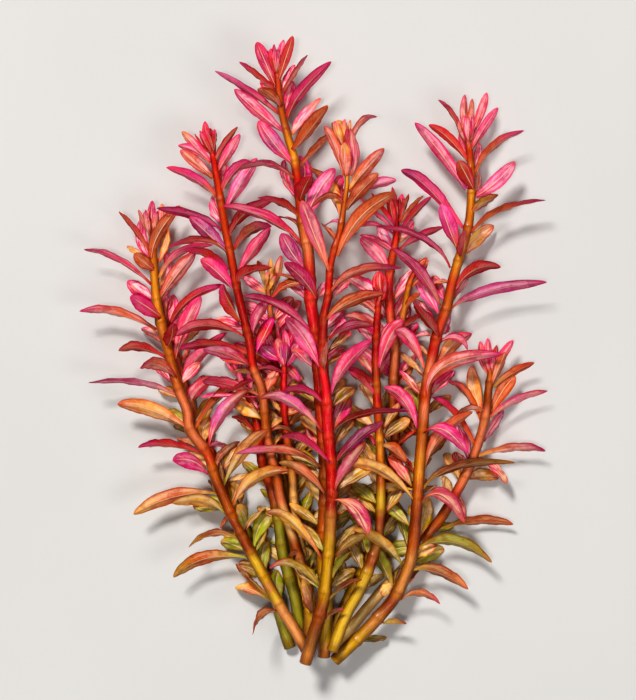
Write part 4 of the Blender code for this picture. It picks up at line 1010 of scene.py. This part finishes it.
def finish_body(body, name, shift, materials):
    mesh = bpy.data.meshes.new(name)
    mesh.from_pydata([((x + shift.x) * 0.001, (y + shift.y) * 0.001, (z + shift.z) * 0.001) for x, y, z in body.verts], [], body.faces)
    mesh.update()
    for m in materials:
        mesh.materials.append(m)
    mesh.polygons.foreach_set("material_index", [1 if k == 2 else 0 for k in body.kind])
    mesh.polygons.foreach_set("use_smooth", [True] * len(body.faces))
    tint = mesh.color_attributes.new("tint", "FLOAT_COLOR", "POINT")
    flat = np.ones((len(body.verts), 4), np.float32)
    flat[:, :3] = np.array([tuple(t) for t in body.tints], np.float32)
    tint.data.foreach_set("color", flat.ravel())
    sheen = mesh.color_attributes.new("sheen", "FLOAT_COLOR", "POINT")
    flat[:, :3] = np.array([tuple(t) for t in body.sheens], np.float32)
    sheen.data.foreach_set("color", flat.ravel())
    seed = mesh.attributes.new("seed", "FLOAT", "POINT")
    seed.data.foreach_set("value", np.array(body.seeds, np.float32))
    for label, data in (("OFBake", body.bake_uv), ("blade", body.leaf_uv)):
        layer = mesh.uv_layers.new(name=label)
        layer.data.foreach_set("uv", np.array(data, np.float32).ravel())
    rim = np.array(body.rim)
    edges = np.empty(len(mesh.edges) * 2, np.int32)
    mesh.edges.foreach_get("vertices", edges)
    edges = edges.reshape(-1, 2)
    mesh.edges.foreach_set("use_edge_sharp", rim[edges[:, 0]] & rim[edges[:, 1]])
    bm = bmesh.new()
    bm.from_mesh(mesh)
    bmesh.ops.recalc_face_normals(bm, faces=bm.faces)
    bm.to_mesh(mesh)
    bm.free()
    obj = bpy.data.objects.new(name, mesh)
    bpy.context.scene.collection.objects.link(obj)
    return obj


class Graph:
    """Short calls for building shader nodes."""

    def __init__(self, name):
        self.material = bpy.data.materials.new(name)
        self.material.use_nodes = True
        self.tree = self.material.node_tree
        self.shader = self.tree.nodes["Principled BSDF"]

    def put(self, socket, value):
        if hasattr(value, "is_linked") or hasattr(value, "links"):
            self.tree.links.new(value, socket)
        else:
            socket.default_value = value

    def math(self, kind, a, b=0.0, c=0.0, clamp=False):
        n = self.tree.nodes.new("ShaderNodeMath")
        n.operation, n.use_clamp = kind, clamp
        for s, v in zip(n.inputs, (a, b, c)):
            self.put(s, v)
        return n.outputs[0]

    def step(self, value, low, high, to_low=0.0, to_high=1.0):
        n = self.tree.nodes.new("ShaderNodeMapRange")
        n.interpolation_type = "SMOOTHSTEP"
        for s, v in zip(n.inputs[:5], (value, low, high, to_low, to_high)):
            self.put(s, v)
        return n.outputs[0]

    def noise(self, vector, scale, detail=2.0, rough=0.5):
        n = self.tree.nodes.new("ShaderNodeTexNoise")
        self.put(n.inputs["Vector"], vector)
        n.inputs["Scale"].default_value = scale
        n.inputs["Detail"].default_value = detail
        n.inputs["Roughness"].default_value = rough
        return n.outputs["Fac"]

    def blend(self, factor, a, b, kind="MIX"):
        n = self.tree.nodes.new("ShaderNodeMix")
        n.data_type, n.blend_type = "RGBA", kind
        self.put(n.inputs["Factor"], factor)
        colours = [s for s in n.inputs if s.type == "RGBA"]
        self.put(colours[0], a)
        self.put(colours[1], b)
        return [s for s in n.outputs if s.type == "RGBA"][0]

    def stored(self, name, kind="Color"):
        n = self.tree.nodes.new("ShaderNodeAttribute")
        n.attribute_name = name
        return n.outputs[kind]

    def uv(self, name):
        n = self.tree.nodes.new("ShaderNodeUVMap")
        n.uv_map = name
        s = self.tree.nodes.new("ShaderNodeSeparateXYZ")
        self.tree.links.new(n.outputs[0], s.inputs[0])
        return n.outputs[0], s.outputs[0], s.outputs[1]

    def place(self):
        n = self.tree.nodes.new("ShaderNodeTexCoord")
        return n.outputs["Object"]

    def vector(self, x, y, z):
        n = self.tree.nodes.new("ShaderNodeCombineXYZ")
        for s, v in zip(n.inputs, (x, y, z)):
            self.put(s, v)
        return n.outputs[0]

    def bump(self, height, strength, distance, normal=None):
        n = self.tree.nodes.new("ShaderNodeBump")
        n.inputs["Strength"].default_value = strength
        n.inputs["Distance"].default_value = distance
        self.put(n.inputs["Height"], height)
        if normal is not None:
            self.put(n.inputs["Normal"], normal)
        return n.outputs[0]


def leaf_material():
    g = Graph("leaf")
    tint, sheen, seed, place = g.stored("tint"), g.stored("sheen"), g.stored("seed", "Fac"), g.place()
    _, u, t = g.uv("blade")
    across = g.math("MULTIPLY", g.math("ABSOLUTE", g.math("SUBTRACT", u, 0.5)), 2.0)   # 0 at the midrib, 1 at the edge
    mottle = g.noise(place, 700.0, 3.0, 0.6)
    fine = g.noise(place, 2600.0, 2.0, 0.5)
    # Silky streaks run along the blade and lean out from the midrib; streak places the painted sheen highlight and
    # thread the dark lines.
    lean = g.math("SUBTRACT", t, g.math("MULTIPLY", across, 0.16))
    streak = g.noise(g.vector(g.math("MULTIPLY", u, 6.5), g.math("MULTIPLY", lean, 2.2), seed), 1.0, 3.0, 0.55)
    thread = g.noise(g.vector(g.math("MULTIPLY", u, 26.0), g.math("MULTIPLY", lean, 5.0), seed), 1.0, 2.0, 0.5)
    # Side veins run forward from the midrib.
    lane = g.math("SUBTRACT", g.math("MULTIPLY", t, 12.0), g.math("MULTIPLY", across, 2.4))
    lane = g.math("ADD", lane, g.math("MULTIPLY", mottle, 1.3))
    vein = g.step(g.math("SINE", g.math("MULTIPLY", lane, 6.2832)), 0.35, 1.0)
    vein = g.math("MULTIPLY", vein, g.step(across, 1.0, 0.55))
    rib_width = g.math("ADD", g.math("MULTIPLY", g.math("SUBTRACT", 1.0, t), 0.07), 0.05)
    rib = g.math("SUBTRACT", 1.0, g.math("DIVIDE", across, rib_width), clamp=True)
    rib = g.math("MULTIPLY", g.step(rib, 0.0, 0.7), g.step(t, 1.0, 0.8))
    # Painted highlight: pale sheen patches along the streaks, fading towards the edges, the foot and the tip.
    sheen_patch = g.math("MULTIPLY", g.step(streak, 0.41, 0.60), g.step(across, 0.98, 0.66))
    sheen_patch = g.math("MULTIPLY", sheen_patch, g.step(t, 0.02, 0.20))
    sheen_patch = g.math("MULTIPLY", sheen_patch, g.step(t, 1.0, 0.85))
    colour = g.blend(sheen_patch, tint, sheen)
    cloud = g.noise(place, 330.0, 3.0, 0.6)
    clouded = g.blend(1.0, tint, (0.66, 0.46, 0.60, 1.0), "MULTIPLY")
    colour = g.blend(g.step(cloud, 0.48, 0.66, 0.0, 0.66), colour, clouded)
    colour = g.blend(g.step(cloud, 0.46, 0.30, 0.0, 0.30), colour, (0.42, 0.11, 0.02, 1.0))
    dark = g.blend(1.0, colour, (0.54, 0.36, 0.38, 1.0), "MULTIPLY")
    colour = g.blend(g.step(thread, 0.50, 0.78, 0.0, 0.24), colour, dark)
    colour = g.blend(g.step(mottle, 0.54, 0.80, 0.0, 0.22), colour, dark)
    # Painted shade in the grooves beside the midrib.
    shaded_flank = g.math("MULTIPLY", g.step(across, 0.02, 0.10), g.step(across, 0.26, 0.12))
    colour = g.blend(g.math("MULTIPLY", shaded_flank, 0.14), colour, dark)
    colour = g.blend(g.math("MULTIPLY", vein, 0.07), colour, (1.0, 0.60, 0.50, 1.0))
    colour = g.blend(g.math("MULTIPLY", rib, 0.72), colour, (1.0, 0.62, 0.36, 1.0))
    deep = g.blend(1.0, tint, (0.72, 0.30, 0.44, 1.0), "MULTIPLY")
    colour = g.blend(g.step(across, 0.66, 1.0, 0.0, 0.72), colour, deep)
    g.put(g.shader.inputs["Base Color"], colour)
    g.put(g.shader.inputs["Roughness"], g.step(mottle, 0.3, 0.7, 0.26, 0.40))
    g.shader.inputs["Specular IOR Level"].default_value = 0.07
    height = g.math("SUBTRACT", g.math("MULTIPLY", mottle, 0.4), g.math("MULTIPLY", vein, 0.18))
    height = g.math("ADD", height, g.math("MULTIPLY", thread, 0.35))
    height = g.math("SUBTRACT", height, g.math("MULTIPLY", rib, 0.9))
    normal = g.bump(height, 0.55, 0.00012)
    normal = g.bump(fine, 0.18, 0.00005, normal)
    g.put(g.shader.inputs["Normal"], normal)
    return g.material


def stem_material():
    g = Graph("stem")
    tint, place = g.stored("tint"), g.place()
    _, around, along = g.uv("blade")
    streak = g.noise(g.vector(g.math("MULTIPLY", around, 22.0), g.math("MULTIPLY", along, 2.2), 0.0), 1.6, 3.0, 0.6)
    mottle = g.noise(place, 620.0, 3.0, 0.6)
    fine = g.noise(place, 3000.0, 2.0, 0.5)
    dark = g.blend(1.0, tint, (0.58, 0.50, 0.30, 1.0), "MULTIPLY")
    light = g.blend(0.30, tint, (0.96, 0.60, 0.20, 1.0))
    colour = g.blend(g.step(streak, 0.46, 0.70, 0.0, 0.65), tint, dark)
    colour = g.blend(g.step(streak, 0.42, 0.25, 0.0, 0.7), colour, light)
    colour = g.blend(g.step(mottle, 0.50, 0.72, 0.0, 0.45), colour, dark)
    g.put(g.shader.inputs["Base Color"], colour)
    g.put(g.shader.inputs["Roughness"], g.step(mottle, 0.3, 0.7, 0.20, 0.32))
    g.shader.inputs["Specular IOR Level"].default_value = 0.22
    normal = g.bump(streak, 0.60, 0.00014)
    normal = g.bump(mottle, 0.30, 0.00010, normal)
    normal = g.bump(fine, 0.2, 0.00006, normal)
    g.put(g.shader.inputs["Normal"], normal)
    return g.material


def floor_material():
    g = Graph("floor")
    place = g.place()
    n = g.noise(place, 9.0, 3.0, 0.5)
    g.put(g.shader.inputs["Base Color"], g.blend(g.step(n, 0.3, 0.7), (0.61, 0.605, 0.595, 1.0), (0.63, 0.625, 0.615, 1.0)))
    g.shader.inputs["Roughness"].default_value = 0.8
    g.shader.inputs["Specular IOR Level"].default_value = 0.2
    return g.material


def area(name, place, aim, size, watts, colour):
    data = bpy.data.lights.new(name, "AREA")
    data.shape, data.size = "DISK", size
    data.energy, data.color = watts, colour
    obj = bpy.data.objects.new(name, data)
    obj.location = place
    obj.rotation_mode = "QUATERNION"
    obj.rotation_quaternion = (Vector(aim) - Vector(place)).to_track_quat("-Z", "Y")
    bpy.context.scene.collection.objects.link(obj)


# Small leaves in the depth of the bunch, as in FILL.
MORE = (("E", 318, 560, 30, 34), ("P", 400, 600, 30, 32), ("N", 320, 600, 27, 30), ("D", 340, 600, 33, 30),
        ("A", 300, 600, 34, 30), ("C", 300, 610, 36, 30), ("M", 400, 610, 30, 28), ("B", 330, 600, 36, 28),
        ("L2", 400, 600, 36, 28), ("R", 300, 600, 38, 32), ("RR", 500, 580, 34, 24), ("L", 300, 600, 42, 28))
stems, placed, dropped, shift = make_layout(MORE)
leaf_skin, stem_skin = leaf_material(), stem_material()
for stem in stems.values():
    mine = [(leaf, leaf.form) for leaf in placed if leaf.stem is stem]
    for leaf in dropped:
        if leaf.stem is stem and not leaf.filler:
            leaf.slim = 1.0
            mine.append((leaf, leaf.shape(leaf.dz, 0.0, 0.0)))
    body = Body()
    tips = bud(stem)
    plan = cells(len(mine) + len(tips))
    add_stem(body, stem, [stem.lengths[leaf.index] for leaf, _ in mine], plan[0])
    for cell, (leaf, form) in zip(plan[1:], mine):
        add_leaf(body, lambda ts, leaf=leaf, form=form: leaf.sections(form, ts), leaf.colours, cell, leaf.order,
                 Y0 - leaf.flat[1].y / UNIT)
    for cell, (sections, colours, number) in zip(plan[1 + len(mine):], tips):
        add_leaf(body, sections, colours, cell, number, Y0 - stem.points[0].y / UNIT, 0.25)
    obj = finish_body(body, "leafy_" + stem.name, shift, (leaf_skin, stem_skin))
    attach(obj, "root")
    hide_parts(stem.name)

floor_mesh = bpy.data.meshes.new("floor")
rim = [(2.4 * math.cos(2 * math.pi * k / 96), 2.4 * math.sin(2 * math.pi * k / 96), 0) for k in range(96)]
floor_mesh.from_pydata(rim, [], [tuple(range(96))])
floor = bpy.data.objects.new("floor", floor_mesh)
floor.location = (0, 0, -0.0002)
floor_mesh.materials.append(floor_material())
bpy.context.scene.collection.objects.link(floor)

LENS = 150.0
camera_data = bpy.data.cameras.new("camera")
camera_data.lens, camera_data.sensor_width = LENS, 36.0
camera_data.clip_start, camera_data.clip_end = 0.01, 50.0
camera = bpy.data.objects.new("camera", camera_data)
bpy.context.scene.collection.objects.link(camera)
bpy.context.scene.camera = camera
half = 0.5 * 700 * UNIT * 0.001
camera.location = (((318.0 - X0) * UNIT + shift.x) * 0.001, ((Y0 - 350.0) * UNIT + shift.y) * 0.001,
                   half / (18.0 / LENS) + 0.010)
camera.rotation_euler = (0, 0, 0)

area("key", (-1.02, 1.86, 2.85), (0, 0, 0), 0.72, 104.0, (1.0, 0.98, 0.95))
area("fill", (1.86, -0.90, 2.10), (0, 0, 0), 1.20, 14.4, (1.0, 0.98, 1.0))
area("front", (-0.30, -0.18, 3.00), (0, 0, 0), 0.33, 17.0, (1.0, 0.99, 0.97))
world = bpy.data.worlds.new("studio")
bpy.context.scene.world = world
world.use_nodes = True
# Dim overhead and pale near the horizon, where it meets the rim of the floor.
sky = world.node_tree
ways, parts = sky.nodes.new("ShaderNodeTexCoord"), sky.nodes.new("ShaderNodeSeparateXYZ")
rise = sky.nodes.new("ShaderNodeMapRange")
rise.interpolation_type = "SMOOTHSTEP"
for socket, value in zip(rise.inputs[1:5], (0.02, 0.36, 0.64, 0.10)):
    socket.default_value = value
sky.links.new(ways.outputs["Generated"], parts.inputs[0])
sky.links.new(parts.outputs[2], rise.inputs[0])
sky.links.new(rise.outputs[0], sky.nodes["Background"].inputs[1])
sky.nodes["Background"].inputs[0].default_value = (0.95, 0.95, 0.94, 1.0)
bpy.context.scene.view_settings.view_transform = "Standard"
bpy.context.scene.view_settings.look = "Medium High Contrast"
